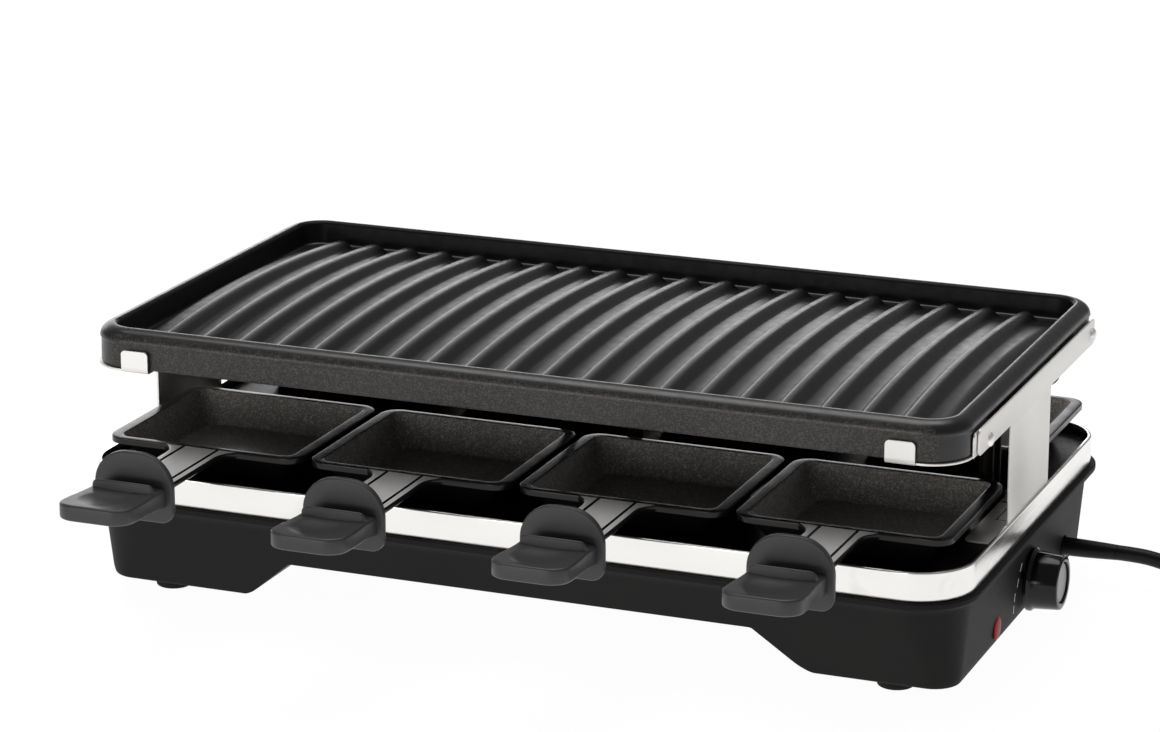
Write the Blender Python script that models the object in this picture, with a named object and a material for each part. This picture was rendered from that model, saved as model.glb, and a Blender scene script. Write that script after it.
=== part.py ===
"""Table-top raclette grill: ribbed cast plate on T brackets over eight pans, with a moulded base.

Metres, +Z up, +X to the control end and +Y to the back. The pieces are made round the middle of
the base and then moved as one, so that the origin is the middle of the footprint without the cord.
"""

import math

import bmesh
import bpy
import numpy as np
from mathutils import Vector

# Gaps and cuts
seat_gap = 0.0003
overrun = 0.012
corner_steps = 5
path_steps = 12
tube_resolution = 2
coil_resolution = 1
crease_angle = math.radians(32.0)
plate_crease_angle = math.radians(28.0)

# Rubber feet
foot_radius = 0.0085
foot_height = 0.0042
foot_round = 0.0009
foot_end_inset = 0.0300
foot_side_inset = 0.0134
foot_sides = 18

# Grill plate, over all and in its wall
plate_bottom = 0.1095
plate_length = 0.4184
plate_depth = 0.2300
plate_corner = 0.0195
plate_height = 0.0175
plate_end_relief = 0.0006
plate_side_flare = 0.0004
plate_relief_height = 0.0115
plate_wall = 0.0040
rim_round = 0.0034
rim_flat = 0.0036
rim_inner_round = 0.0012
rim_inner_draft = 0.0020
gutter_depth = 0.0112
gutter_floor = 0.0033

# Crowned field of ribs
rib_pitch = 0.01905
rib_base = 0.0092
rib_height = 0.0038
rib_end_run = 0.0045
field_end_gap = 0.0058
field_side_gap = 0.0030
valley_step = 0.0012
crown_rise = 0.0036
crown_wall = 0.0042
rib_profile_shares = ((-1.0, 0.0), (-0.56, 0.34), (-0.26, 0.93), (0.26, 0.93), (0.56, 0.34))
crown_row_shares = (-1.0, -0.72, -0.40, 0.0, 0.40, 0.72, 1.0)

# Plate carriers
carrier_sheet = 0.0010
carrier_width = 0.0120
carrier_lug_sheet = 0.0008
carrier_lug_gap = 0.0004
carrier_lug_height = 0.0108
carrier_lug_front = (-0.0965, -0.0720)
carrier_lug_back = (0.0740, 0.0990)
carrier_end_gap = 0.0006
tab_inner_x = 0.1760
tab_width = 0.0135
tab_height = 0.0103
tab_gap = 0.0010
tab_round = 0.0020

# T brackets
bracket_sheet = 0.0010
bar_front_y = -0.0945
bar_back_y = 0.0970
bar_width = 0.0120
bar_drop = 0.0016
bar_round = 0.0020
leg_front_y = -0.0433
leg_back_y = 0.0226
bracket_foot_front_y = -0.0620
bracket_foot_width = 0.0150
bracket_foot_round = 0.0030

# Trim ring
ring_depth = 0.2432
ring_height = 0.0132
ring_sheet = 0.0006
ring_corner = 0.0270
ring_flange = 0.0040
ring_top_round = 0.0012
leg_slot_gap = 0.0005

# Pan deck
deck_rise = 0.0089
deck_sheet = 0.0008
deck_edge_round = 0.0012
deck_ledge = 0.0022

# Base housing
base_height = 0.0438
base_bottom_length = 0.4140
base_bottom_depth = 0.2168
base_bottom_corner = 0.0134
base_end_tuck = 0.0020
base_side_tuck = 0.0006
base_edge_round = 0.0030
base_wall = 0.0024
lip_height = 0.0030
lip_proud = 0.0025
lip_run = 0.0014
arch_height = 0.0200
arch_half = 0.1120
arch_angle = math.radians(40.0)
arch_foot_round = 0.0100
arch_top_round = 0.0030
arch_entry_run = 0.0300
arch_entry_drop = 0.0030

# Pans
pan_pitch = 0.1026
pan_width = 0.0990
pan_depth = 0.0905
pan_height = 0.0158
pan_front_y = -0.1095
pan_row_pull = 0.0100
pan_sheet = 0.0008
pan_corner = 0.0120
pan_side_rim = 0.0056
pan_end_rim = 0.0036
pan_lip = 0.0030
pan_edge_round = 0.0007
pan_wall_run = 0.0080
pan_floor_round = 0.0012
pan_floor_corner = 0.0060
stem_width = 0.0250
stem_reach = 0.0620
stem_drop = 0.0001
stem_edge = 0.0022
stem_panel_half = 0.0082
stem_panel_depth = 0.0008
stem_panel_slope = 0.0003
stem_root_round = 0.0080
tongue_width = 0.0220
tongue_length = 0.0240
pan_columns = 4
pan_corner_steps = 3

# Pan handles
shield_width = 0.0388
shield_height = 0.0315
shield_thick = 0.0034
shield_round = 0.0010
shield_top_corner = 0.0145
shield_foot_corner = 0.0060
shield_drop = 0.0122
grip_width = 0.0340
grip_root_width = 0.0310
grip_thick = 0.0088
grip_tip_thick = 0.0072
grip_length = 0.0418
grip_rise = 0.0026
grip_corner = 0.0032
grip_tip_corner = 0.0100
grip_root_drop = 0.0056
grip_round_share = 0.36
grip_tip_shares = ((1.0, 0.0, 0.0), (0.34, 0.18, 0.1), (0.06, 0.45, 0.5), (0.0, 0.60, 1.0))
ridge_width = 0.0230
ridge_run = 0.0048
ridge_height = 0.0040
handle_corner_steps = 4
grip_corner_steps = 2

# Heater
heater_radius = 0.00325
heater_gap = 0.0035
heater_run_y = 0.0660
heater_inner_y = 0.0220
heater_foot_gap = 0.00285
heater_far_x = 0.1970
heater_return_x = 0.1500
heater_bend = 0.0200
heater_end_y = (-0.0060, 0.0060)
heater_end_drop = 0.0112
heater_hole_gap = 0.0006
heater_bend_steps = 3

# Heater supports
support_x = (-0.0160, 0.0180)
support_width = 0.0070
support_sheet = 0.0012
support_bar_length = 0.1460
support_foot_depth = 0.0140
support_tab_height = 0.0030

# Thermostat, terminal block and their shaft
thermostat_length = 0.0280
thermostat_width = 0.0280
thermostat_height = 0.0220
thermostat_round = 0.0020
shaft_radius = 0.0030
shaft_engage = 0.0140
shaft_knob_engage = 0.0100
terminal_length = 0.0200
terminal_width = 0.0260
terminal_round = 0.0012

# Control knob
knob_y = 0.0040
knob_rise = 0.0165
knob_flange_radius = 0.0146
knob_flange = 0.0024
knob_radius = 0.0132
knob_face_radius = 0.0121
knob_length = 0.0180
knob_round = 0.0010
knob_insert_radius = 0.0106
knob_insert_depth = 0.0016
knob_pointer_width = 0.0012
knob_pointer_depth = 0.0006
knob_sides = 36

# Indicator lamp
lens_y = -0.0440
lens_rise = 0.0086
lens_radius = 0.0054
lens_flange = 0.0013
lens_barrel_radius = 0.0042
lens_barrel_reach = 0.0030
lamp_holder_length = 0.0140
lamp_holder_half = 0.0050
lens_sides = 20

# Mains cord, its strain relief and its coil
cord_radius = 0.0036
cord_exit_y = 0.0690
cord_exit_rise = 0.0115
relief_radius = 0.0050
relief_tip_radius = 0.0041
relief_length = 0.0260
relief_flange_radius = 0.0068
relief_flange = 0.0016
relief_sides = 14
cord_route = (
    (0.2400, 0.0690, 0.0159),
    (0.2480, 0.0690, 0.0154),
    (0.2560, 0.0688, 0.0140),
    (0.2640, 0.0685, 0.0117),
    (0.2720, 0.0683, 0.0090),
    (0.2800, 0.0681, 0.0065),
    (0.2880, 0.0680, 0.0046),
)
cord_spacing = 0.0120
cord_lift = 0.0001
coil_x = 0.3060
coil_radius = 0.0480
coil_pitch = 0.0080
coil_layer = 0.0080
coil_layer_turns = 2.375
coil_points_per_turn = 24
coil_start_y = 0.0680
coil_lead_out = 0.0120
inner_lead_radius = 0.0030
inner_lead_run = 0.0125

# Mains plug, lying on its back
plug_radius = 0.0187
plug_height = 0.0240
plug_round = 0.0025
plug_boss_length = 0.0250
plug_boss_radius = 0.0070
plug_boss_tip_radius = 0.0045
plug_notch_width = 0.0060
plug_notch_depth = 0.0020
pin_radius = 0.0024
pin_length = 0.0190
pin_spacing = 0.0190
pin_round = 0.0010
plug_sides = 28

# Heights and reaches that follow from the sizes above
base_bottom = foot_height + seat_gap
base_top = base_bottom + base_height
ring_bottom = base_top + seat_gap
ring_top = ring_bottom + ring_height
deck_top = ring_bottom + deck_rise
pan_bottom = deck_top + seat_gap
plate_top = plate_bottom + plate_height
gutter_z = plate_top - gutter_depth
carrier_top = plate_bottom - seat_gap
plate_wall_x = plate_length / 2 - plate_end_relief
plate_wall_y = plate_depth / 2 + plate_side_flare
lug_inner_x = plate_wall_x + carrier_lug_gap
bracket_inner_x = lug_inner_x + carrier_lug_sheet + seat_gap
bracket_outer_x = bracket_inner_x + bracket_sheet
ring_half_x = bracket_outer_x + seat_gap + ring_sheet
ring_half_y = ring_depth / 2
deck_half_x = bracket_inner_x - seat_gap
deck_half_y = ring_half_y - ring_sheet - seat_gap
deck_corner = ring_corner - ring_sheet
base_top_length = 2 * (ring_half_x - base_end_tuck)
base_top_depth = 2 * (ring_half_y - base_side_tuck)
foot_x = base_bottom_length / 2 - foot_end_inset
foot_y = base_bottom_depth / 2 - foot_side_inset
gutter_inset = rim_round + rim_flat + rim_inner_round + rim_inner_draft
field_depth = plate_depth - 2 * (gutter_inset + field_end_gap)
rib_reach = plate_length / 2 - gutter_inset - field_side_gap - rib_base / 2
rib_count = 2 * int(rib_reach / rib_pitch) + 1
heater_end_x = bracket_outer_x - bracket_foot_width - heater_foot_gap - heater_radius
heater_z = plate_bottom - heater_gap - heater_radius
knob_z = base_bottom + knob_rise
lens_z = base_bottom + lens_rise
cord_exit_z = base_bottom + cord_exit_rise


def material(name, colour, roughness, metallic=0.0):
    """Makes a plain surface finish from a colour, a roughness and a metallic value."""
    made = bpy.data.materials.new(name)
    made.use_nodes = True
    shader = made.node_tree.nodes["Principled BSDF"]
    shader.inputs["Base Color"].default_value = (*colour, 1.0)
    shader.inputs["Roughness"].default_value = roughness
    shader.inputs["Metallic"].default_value = metallic
    return made


def rounded_outline(points, radii, steps=corner_steps):
    """Rounds each corner of a closed outline with an arc of its own radius; zero keeps it sharp."""
    outline = []
    count = len(points)
    for i, radius in enumerate(radii):
        here = Vector(points[i])
        back = (Vector(points[i - 1]) - here).normalized()
        ahead = (Vector(points[(i + 1) % count]) - here).normalized()
        if radius <= 0:
            outline.append(tuple(here))
            continue
        half = back.angle(ahead) / 2
        middle = here + (back + ahead).normalized() * (radius / math.sin(half))
        start = here + back * (radius / math.tan(half)) - middle
        sweep = math.pi - 2 * half
        turn = 1 if start.x * (ahead.y - back.y) - start.y * (ahead.x - back.x) > 0 else -1
        for k in range(steps + 1):
            angle = turn * sweep * k / steps
            swung = Vector((
                start.x * math.cos(angle) - start.y * math.sin(angle),
                start.x * math.sin(angle) + start.y * math.cos(angle),
            ))
            outline.append(tuple(middle + swung))
    return outline


def rounded_rectangle(half_u, half_v, radius, steps=corner_steps, middle=(0, 0)):
    """Outline of a rectangle with four equal round corners."""
    u, v = middle
    signs = ((-1, -1), (1, -1), (1, 1), (-1, 1))
    corners = [(u + a * half_u, v + b * half_v) for a, b in signs]
    return rounded_outline(corners, [radius] * len(corners), steps)


def circle(radius, sides, middle=(0, 0)):
    """Outline of a circle."""
    turns = [2 * math.pi * k / sides for k in range(sides)]
    return [(middle[0] + radius * math.cos(a), middle[1] + radius * math.sin(a)) for a in turns]


def ring(outline, level, axis="z"):
    """Places a flat outline square to an axis at a level along it."""
    if axis == "z":
        return [(u, v, level) for u, v in outline]
    if axis == "y":
        return [(u, level, v) for u, v in outline]
    return [(level, u, v) for u, v in outline]


def skin(name, rings, finish=None):
    """Joins a stack of rings, which have as many points each, into a closed solid with flat ends."""
    bm = bmesh.new()
    loops = [[bm.verts.new(point) for point in points] for points in rings]
    for low, high in zip(loops, loops[1:]):
        for i in range(len(low)):
            j = (i + 1) % len(low)
            bm.faces.new((low[i], low[j], high[j], high[i]))
    bm.faces.new(reversed(loops[0]))
    bm.faces.new(loops[-1])
    return solid(name, bm, finish)


def solid(name, bm, finish=None):
    """Turns a bmesh into an object with its faces pointing out."""
    bm.normal_update()
    bmesh.ops.recalc_face_normals(bm, faces=bm.faces)
    if bm.calc_volume(signed=True) < 0:
        bmesh.ops.reverse_faces(bm, faces=bm.faces)
    mesh = bpy.data.meshes.new(name)
    bm.to_mesh(mesh)
    bm.free()
    if finish:
        mesh.materials.append(finish)
    made = bpy.data.objects.new(name, mesh)
    bpy.context.scene.collection.objects.link(made)
    return made


def slab(name, outline, low, high, axis="z", finish=None):
    """Extrudes a flat outline between two levels of an axis."""
    return skin(name, [ring(outline, low, axis), ring(outline, high, axis)], finish)


def box(name, low, high, round_radius=0, axis="z", finish=None):
    """Block between two corners, its edges along one axis rounded."""
    pair = {"z": (0, 1, 2), "y": (0, 2, 1), "x": (1, 2, 0)}[axis]
    u, v, w = pair
    middle = ((high[u] + low[u]) / 2, (high[v] + low[v]) / 2)
    outline = rounded_rectangle((high[u] - low[u]) / 2, (high[v] - low[v]) / 2, round_radius, middle=middle)
    return slab(name, outline, low[w], high[w], axis, finish)


def turned(name, profile, sides, axis="z", middle=(0, 0), finish=None):
    """Turns a profile of radius and level pairs round an axis."""
    rings = [ring(circle(radius, sides, middle), level, axis) for radius, level in profile]
    return skin(name, rings, finish)


def combine(body, tool, operation):
    """Joins, cuts or trims one solid with another and keeps the result; the tool is used up."""
    step = body.modifiers.new(operation.lower(), "BOOLEAN")
    step.operation = operation
    step.object = tool
    step.solver = "EXACT"
    bpy.context.view_layer.update()
    graph = bpy.context.evaluated_depsgraph_get()
    done = bpy.data.meshes.new_from_object(body.evaluated_get(graph))
    body.modifiers.clear()
    body.data = done
    bpy.data.objects.remove(tool)
    return body


def seat(made, origin=(0, 0, 0), crease=crease_angle):
    """Moves the object's origin to its joint or its middle and shades its round faces smooth."""
    shift = Vector(origin)
    for vertex in made.data.vertices:
        vertex.co -= shift
    made.location = shift
    made.data.shade_smooth()
    made.data.set_sharp_from_angle(angle=crease)
    return made


def copy_at(made, name, location, turn=0):
    """Another piece of the same mesh at its own place, turned about the vertical."""
    other = bpy.data.objects.new(name, made.data)
    other.location = location
    other.rotation_euler.z = turn
    bpy.context.scene.collection.objects.link(other)
    return other


def mirrored(made, name):
    """The opposite-hand piece across the middle plane of the grill's length."""
    bm = bmesh.new()
    bm.from_mesh(made.data)
    for vertex in bm.verts:
        vertex.co.x = -vertex.co.x
    other = solid(name, bm, made.data.materials[0])
    other.location = (-made.location.x, made.location.y, made.location.z)
    other.data.shade_smooth()
    other.data.set_sharp_from_angle(angle=crease_angle)
    return other


def rounded_path(points, radius, steps):
    """Rounds the inner corners of an open path in space with arcs of one radius."""
    path = [Vector(points[0])]
    for before, here, after in zip(points, points[1:], points[2:]):
        corner = Vector(here)
        back = (Vector(before) - corner).normalized()
        ahead = (Vector(after) - corner).normalized()
        half = back.angle(ahead) / 2
        middle = corner + (back + ahead).normalized() * (radius / math.sin(half))
        start = corner + back * (radius / math.tan(half)) - middle
        end = corner + ahead * (radius / math.tan(half)) - middle
        sweep = math.pi - 2 * half
        for k in range(steps + 1):
            share = k / steps
            arc = (start * math.sin(sweep * (1 - share)) + end * math.sin(sweep * share)) / math.sin(sweep)
            path.append(middle + arc)
    path.append(Vector(points[-1]))
    return path


def smooth_path(points, spacing):
    """Reads evenly spaced points from a smooth curve through hand-chosen ones."""
    route = np.array(points)
    padded = np.vstack([2 * route[0] - route[1], route, 2 * route[-1] - route[-2]])
    fine = []
    for a, b, c, d in zip(padded, padded[1:], padded[2:], padded[3:]):
        for t in np.linspace(0, 1, path_steps, endpoint=False):
            bend = (2 * a - 5 * b + 4 * c - d) * t**2 + (3 * b - a - 3 * c + d) * t**3
            fine.append((2 * b + (c - a) * t + bend) / 2)
    fine = np.vstack([fine, route[-1]])
    run = np.concatenate([[0], np.cumsum(np.linalg.norm(np.diff(fine, axis=0), axis=1))])
    even = np.linspace(0, run[-1], max(2, round(run[-1] / spacing)) + 1)
    return np.column_stack([np.interp(even, run, fine[:, k]) for k in range(3)])


def tube(name, points, radius, resolution, finish):
    """Round tube along a path: a curve with a bevel and filled ends."""
    curve = bpy.data.curves.new(name, "CURVE")
    curve.dimensions = "3D"
    curve.bevel_depth = radius
    curve.bevel_resolution = resolution
    curve.use_fill_caps = True
    spline = curve.splines.new("POLY")
    spline.points.add(len(points) - 1)
    for point, place in zip(spline.points, points):
        point.co = (*place, 1.0)
    curve.materials.append(finish)
    made = bpy.data.objects.new(name, curve)
    bpy.context.scene.collection.objects.link(made)
    return made


def end_wall_x(z):
    """Outer face of the base's end wall at a height: it leans out towards the lip."""
    low = base_bottom + base_edge_round
    high = base_top - lip_height - lip_run
    share = (z - low) / (high - low)
    return base_bottom_length / 2 + (base_top_length - base_bottom_length) / 2 * share


def inside_wall_x(z, half_height):
    """Inner face of the end wall where it is nearest, over a piece's height."""
    return min(end_wall_x(z - half_height), end_wall_x(z + half_height)) - base_wall


def outside_wall_x(z, half_height):
    """Outer face of the end wall where it is farthest, over a piece's height."""
    return max(end_wall_x(z - half_height), end_wall_x(z + half_height))


def arch_outline(grow):
    """Outline of the arch under the base, grown all round by the wall for the inner face."""
    shift = grow * math.tan(arch_angle / 2)
    top_x = arch_half + shift
    arch_foot_x = arch_half + arch_height / math.tan(arch_angle) + shift
    low_z = base_bottom + grow
    top_z = low_z + arch_height
    right = [
        (arch_foot_x + arch_entry_run + overrun, low_z - arch_entry_drop - overrun),
        (arch_foot_x + arch_entry_run, low_z - arch_entry_drop),
        (arch_foot_x, low_z),
        (top_x, top_z),
    ]
    radii = [0, 0, arch_foot_round, arch_top_round]
    left = [(-x, z) for x, z in reversed(right)]
    return rounded_outline(right + left, radii + radii[::-1])


def make_base(plastic):
    """Moulded tub with a wall of even thickness, arched right through from front to back."""
    low, high = base_bottom, base_top
    lip_x, lip_y = ring_half_x + lip_proud, ring_half_y + lip_proud
    lip_corner = ring_corner + lip_proud
    bottom_x, bottom_y = base_bottom_length / 2, base_bottom_depth / 2
    top_x, top_y = base_top_length / 2, base_top_depth / 2
    round_in = base_edge_round * (1 - math.sin(math.pi / 4))
    sections = [
        (bottom_x - base_edge_round, bottom_y - base_edge_round, base_bottom_corner - base_edge_round, low),
        (bottom_x - round_in, bottom_y - round_in, base_bottom_corner - round_in, low + round_in),
        (bottom_x, bottom_y, base_bottom_corner, low + base_edge_round),
        (top_x, top_y, ring_corner, high - lip_height - lip_run),
        (lip_x, lip_y, lip_corner, high - lip_height),
        (lip_x, lip_y, lip_corner, high),
    ]
    base = skin("base_housing", [ring(rounded_rectangle(a, b, r), z) for a, b, r, z in sections], plastic)
    reach = lip_y + overrun
    combine(base, slab("arch", arch_outline(0), -reach, reach, "y"), "DIFFERENCE")

    ledge_x = deck_half_x - deck_sheet - deck_ledge
    ledge_y = deck_half_y - deck_sheet - deck_ledge
    ledge_corner = deck_corner - deck_sheet - deck_ledge
    inner = [
        (bottom_x - base_wall, bottom_y - base_wall, base_bottom_corner - base_wall, low + base_wall),
        (top_x - base_wall, top_y - base_wall, ring_corner - base_wall, high - lip_height - lip_run),
        (ledge_x, ledge_y, ledge_corner, high - lip_height),
        (ledge_x, ledge_y, ledge_corner, high + overrun),
    ]
    cavity = skin("cavity", [ring(rounded_rectangle(a, b, r), z) for a, b, r, z in inner])
    combine(cavity, slab("arch_inside", arch_outline(base_wall), -reach, reach, "y"), "DIFFERENCE")
    combine(base, cavity, "DIFFERENCE")

    def hole(radius, y, z):
        start = end_wall_x(z) - base_wall - overrun
        profile = [(radius, start), (radius, start + base_wall + overrun + overrun)]
        combine(base, turned("hole", profile, lens_sides, "x", (y, z)), "DIFFERENCE")

    hole(shaft_radius + seat_gap, knob_y, knob_z)
    hole(lens_barrel_radius + seat_gap, lens_y, lens_z)
    hole(relief_radius + seat_gap, cord_exit_y, cord_exit_z)
    return seat(base)


def make_feet(rubber):
    """Four turned rubber feet."""
    profile = [
        (foot_radius - foot_round, 0),
        (foot_radius, foot_round),
        (foot_radius, foot_height),
    ]
    first = seat(turned("rubber_foot_1", profile, foot_sides, finish=rubber))
    places = [(-foot_x, -foot_y, 0), (foot_x, -foot_y, 0), (foot_x, foot_y, 0), (-foot_x, foot_y, 0)]
    first.location = places[0]
    for number, place in enumerate(places[1:], start=2):
        copy_at(first, f"rubber_foot_{number}", place)


def make_ring(steel):
    """Stainless band with its top edge turned in, slotted where the bracket legs go down."""
    x, y, r, t = ring_half_x, ring_half_y, ring_corner, ring_sheet
    bend = ring_top_round
    sections = [
        (x, y, r, ring_bottom),
        (x, y, r, ring_top - bend),
        (x - bend, y - bend, r - bend, ring_top),
        (x - ring_flange, y - ring_flange, r - ring_flange, ring_top),
        (x - ring_flange, y - ring_flange, r - ring_flange, ring_top - t),
        (x - bend, y - bend, r - bend, ring_top - t),
        (x - t, y - t, r - t, ring_top - bend),
        (x - t, y - t, r - t, ring_bottom),
    ]
    rings = [ring(rounded_rectangle(a, b, c), z) for a, b, c, z in sections]
    bm = bmesh.new()
    loops = [[bm.verts.new(point) for point in points] for points in rings]
    for low, high in zip(loops, loops[1:] + loops[:1]):
        for i in range(len(low)):
            j = (i + 1) % len(low)
            bm.faces.new((low[i], low[j], high[j], high[i]))
    band = solid("trim_ring", bm, steel)
    for side in (-1, 1):
        slot_inner_x = bracket_inner_x - leg_slot_gap - overrun
        xs = sorted((side * slot_inner_x, side * (bracket_outer_x + seat_gap)))
        low = (xs[0], leg_front_y - leg_slot_gap, deck_top)
        high = (xs[1], leg_back_y + leg_slot_gap, ring_top + overrun)
        combine(band, box("leg_slot", low, high), "DIFFERENCE")
    return seat(band)


def make_deck(enamel):
    """Sheet tray turned down at its edge, which the pans stand on; two holes pass the heater's ends."""
    x, y, r, t = deck_half_x, deck_half_y, deck_corner, deck_sheet
    bend = deck_edge_round
    sections = [
        (x - t - bend, y - t - bend, r - t - bend, deck_top - t),
        (x - t, y - t, r - t, deck_top - t - bend),
        (x - t, y - t, r - t, ring_bottom),
        (x, y, r, ring_bottom),
        (x, y, r, deck_top - bend),
        (x - bend, y - bend, r - bend, deck_top),
    ]
    deck = skin("pan_deck", [ring(rounded_rectangle(a, b, c), z) for a, b, c, z in sections], enamel)
    for y_end in heater_end_y:
        radius = heater_radius + heater_hole_gap
        profile = [(radius, deck_top - t - overrun), (radius, deck_top + overrun)]
        combine(deck, turned("heater_hole", profile, lens_sides, "z", (heater_end_x, y_end)), "DIFFERENCE")
    return seat(deck)


def make_bracket(steel):
    """T bracket of one sheet: bar along the plate's end, leg down through the ring, foot turned in."""
    bar_top = plate_bottom - bar_drop + bar_width
    bar_low = plate_bottom - bar_drop
    foot_z = deck_top + seat_gap
    outline = rounded_outline(
        [
            (leg_front_y, foot_z),
            (leg_back_y, foot_z),
            (leg_back_y, bar_low),
            (bar_back_y, bar_low),
            (bar_back_y, bar_top),
            (bar_front_y, bar_top),
            (bar_front_y, bar_low),
            (leg_front_y, bar_low),
        ],
        [0, 0, bar_round / 2, bar_round, bar_round, bar_round, bar_round, bar_round / 2],
    )
    bracket = slab("end_bracket_right", outline, bracket_inner_x, bracket_outer_x, "x", steel)
    inner_x = bracket_outer_x - bracket_foot_width
    foot_corners = [
        (inner_x, bracket_foot_front_y),
        (bracket_inner_x + bracket_sheet / 2, bracket_foot_front_y),
        (bracket_inner_x + bracket_sheet / 2, leg_back_y - bar_round),
        (inner_x, leg_back_y - bar_round),
    ]
    radii = [bracket_foot_round, bracket_foot_round, 0, bracket_foot_round]
    foot_low = foot_z + bracket_sheet / 10
    foot = slab("foot", rounded_outline(foot_corners, radii), foot_low, foot_z + bracket_sheet)
    combine(bracket, foot, "UNION")
    return seat(bracket, (bracket_inner_x, 0, foot_z))


def make_carrier(steel):
    """C-shaped strip under the plate's end with a tab at each corner and two lugs for the T bar."""
    low, high = carrier_top - carrier_sheet, carrier_top
    lug_x = lug_inner_x + carrier_lug_sheet
    out_x = lug_inner_x + carrier_lug_sheet / 2
    out_y = plate_wall_y + carrier_end_gap
    in_x, in_y = out_x - carrier_width, out_y - carrier_width
    tab_outer_x = tab_inner_x + tab_width
    tab_y = plate_wall_y + tab_gap
    root_y = tab_y + carrier_sheet / 2
    half_outline = [(out_x, out_y), (tab_outer_x, out_y), (tab_outer_x, root_y), (tab_inner_x, root_y)]
    half_outline += [(tab_inner_x, in_y), (in_x, in_y)]
    inside = plate_corner - carrier_width
    half_radii = [plate_corner, 0, 0, 0, tab_round, inside]
    points = half_outline + [(x, -y) for x, y in reversed(half_outline)]
    outline = rounded_outline(points, half_radii + half_radii[::-1])
    strip = slab("plate_carrier_right", outline, low, high, "z", steel)
    start_z = low + carrier_sheet / 10
    for side in (-1, 1):
        inset = carrier_sheet / 10
        left, right, top = tab_inner_x + inset, tab_outer_x - inset, low + tab_height
        tab = [(left, start_z), (right, start_z), (right, top), (left, top)]
        ys = sorted((side * tab_y, side * (tab_y + carrier_sheet)))
        tab_outline = rounded_outline(tab, [0, 0, tab_round, tab_round])
        combine(strip, slab("tab", tab_outline, ys[0], ys[1], "y"), "UNION")
    for start, end in (carrier_lug_front, carrier_lug_back):
        top = low + carrier_lug_height
        lug = [(start, start_z), (end, start_z), (end, top), (start, top)]
        lug_outline = rounded_outline(lug, [0, 0, tab_round, tab_round])
        combine(strip, slab("lug", lug_outline, lug_inner_x, lug_x, "x"), "UNION")
    return seat(strip, (lug_x, 0, carrier_top))


def plate_sections():
    """Rings of the plate's tray: recess below, outer wall, rounded rim, inner wall, gutter floor."""
    wall_x, wall_y = plate_wall_x, plate_wall_y
    rim_x, rim_y = plate_length / 2, plate_depth / 2
    low, top = plate_bottom, plate_top
    inset_flat = rim_round + rim_flat
    inset_wall = inset_flat + rim_inner_round
    shoulder = rim_round * (1 - math.sin(math.pi / 4))
    r = plate_corner
    return [
        (wall_x - plate_wall, wall_y - plate_wall, r - plate_wall, gutter_z - gutter_floor),
        (wall_x - plate_wall, wall_y - plate_wall, r - plate_wall, low),
        (wall_x, wall_y, r, low),
        (wall_x, rim_y, r, low + plate_relief_height),
        (rim_x, rim_y, r, top - rim_round),
        (rim_x - shoulder, rim_y - shoulder, r, top - shoulder),
        (rim_x - rim_round, rim_y - rim_round, r - rim_round, top),
        (rim_x - inset_flat, rim_y - inset_flat, r - inset_flat, top),
        (rim_x - inset_wall, rim_y - inset_wall, r - inset_wall, top - rim_inner_round),
        (rim_x - gutter_inset, rim_y - gutter_inset, r - gutter_inset, gutter_z),
    ]


def crown_height(y):
    """Height of a valley between the ribs: an arc that is highest in the middle of the depth."""
    return gutter_z + valley_step + crown_rise * (1 - (2 * y / field_depth) ** 2)


def make_plate(cast):
    """Cast plate: rimmed tray with a gutter, joined to a crowned field of ribs, hollow underneath."""
    rings = [ring(rounded_rectangle(a, b, r), z) for a, b, r, z in plate_sections()]
    tray = skin("grill_plate", rings, cast)

    columns = []
    for number in range(rib_count):
        centre = (number - (rib_count - 1) / 2) * rib_pitch
        columns += [(centre + u * rib_base / 2, v) for u, v in rib_profile_shares]
        columns.append((centre + rib_base / 2, 0))
    half = field_depth / 2
    rows = [(share * (half - rib_end_run), 1) for share in crown_row_shares]
    near_end = (half - rib_end_run / 3, math.sin(math.pi / 4))
    rows = [(-half, 0), (-near_end[0], near_end[1])] + rows + [near_end, (half, 0)]
    sunk = gutter_z - gutter_floor / 2

    bm = bmesh.new()
    top = []
    floor = []
    for y, rise in rows:
        top.append([bm.verts.new((x, y, crown_height(y) + rib_height * up * rise)) for x, up in columns])
        floor.append([bm.verts.new((x, y, sunk)) for x, up in columns])
    last_row, last_column = len(rows) - 1, len(columns) - 1
    for j in range(last_row):
        for i in range(last_column):
            bm.faces.new((top[j][i], top[j][i + 1], top[j + 1][i + 1], top[j + 1][i]))
        for i in (0, last_column):
            bm.faces.new((top[j][i], top[j + 1][i], floor[j + 1][i], floor[j][i]))
    for j in (0, last_row):
        for i in range(last_column):
            bm.faces.new((top[j][i], top[j][i + 1], floor[j][i + 1], floor[j][i]))
    edge = [floor[0][i] for i in range(last_column + 1)]
    edge += [floor[j][last_column] for j in range(1, last_row + 1)]
    edge += [floor[last_row][i] for i in range(last_column - 1, -1, -1)]
    edge += [floor[j][0] for j in range(last_row - 1, 0, -1)]
    spare = [vertex for row in floor for vertex in row if vertex not in set(edge)]
    bm.faces.new(edge)
    bmesh.ops.delete(bm, geom=spare, context="VERTS")
    combine(tray, solid("rib_field", bm), "UNION")

    reach = (rib_count - 1) / 2 * rib_pitch
    arc_places = [share * (half - rib_end_run) for share in crown_row_shares]
    arc = [(y, crown_height(y) - crown_wall) for y in arc_places]
    arc = [(y, z) for y, z in arc if z > gutter_z - gutter_floor]
    arc = [(arc[0][0] - plate_wall, plate_bottom)] + arc + [(arc[-1][0] + plate_wall, plate_bottom)]
    combine(tray, slab("underside", arc, -reach, reach, "x"), "DIFFERENCE")
    return seat(tray, (0, 0, plate_bottom), plate_crease_angle)


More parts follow.
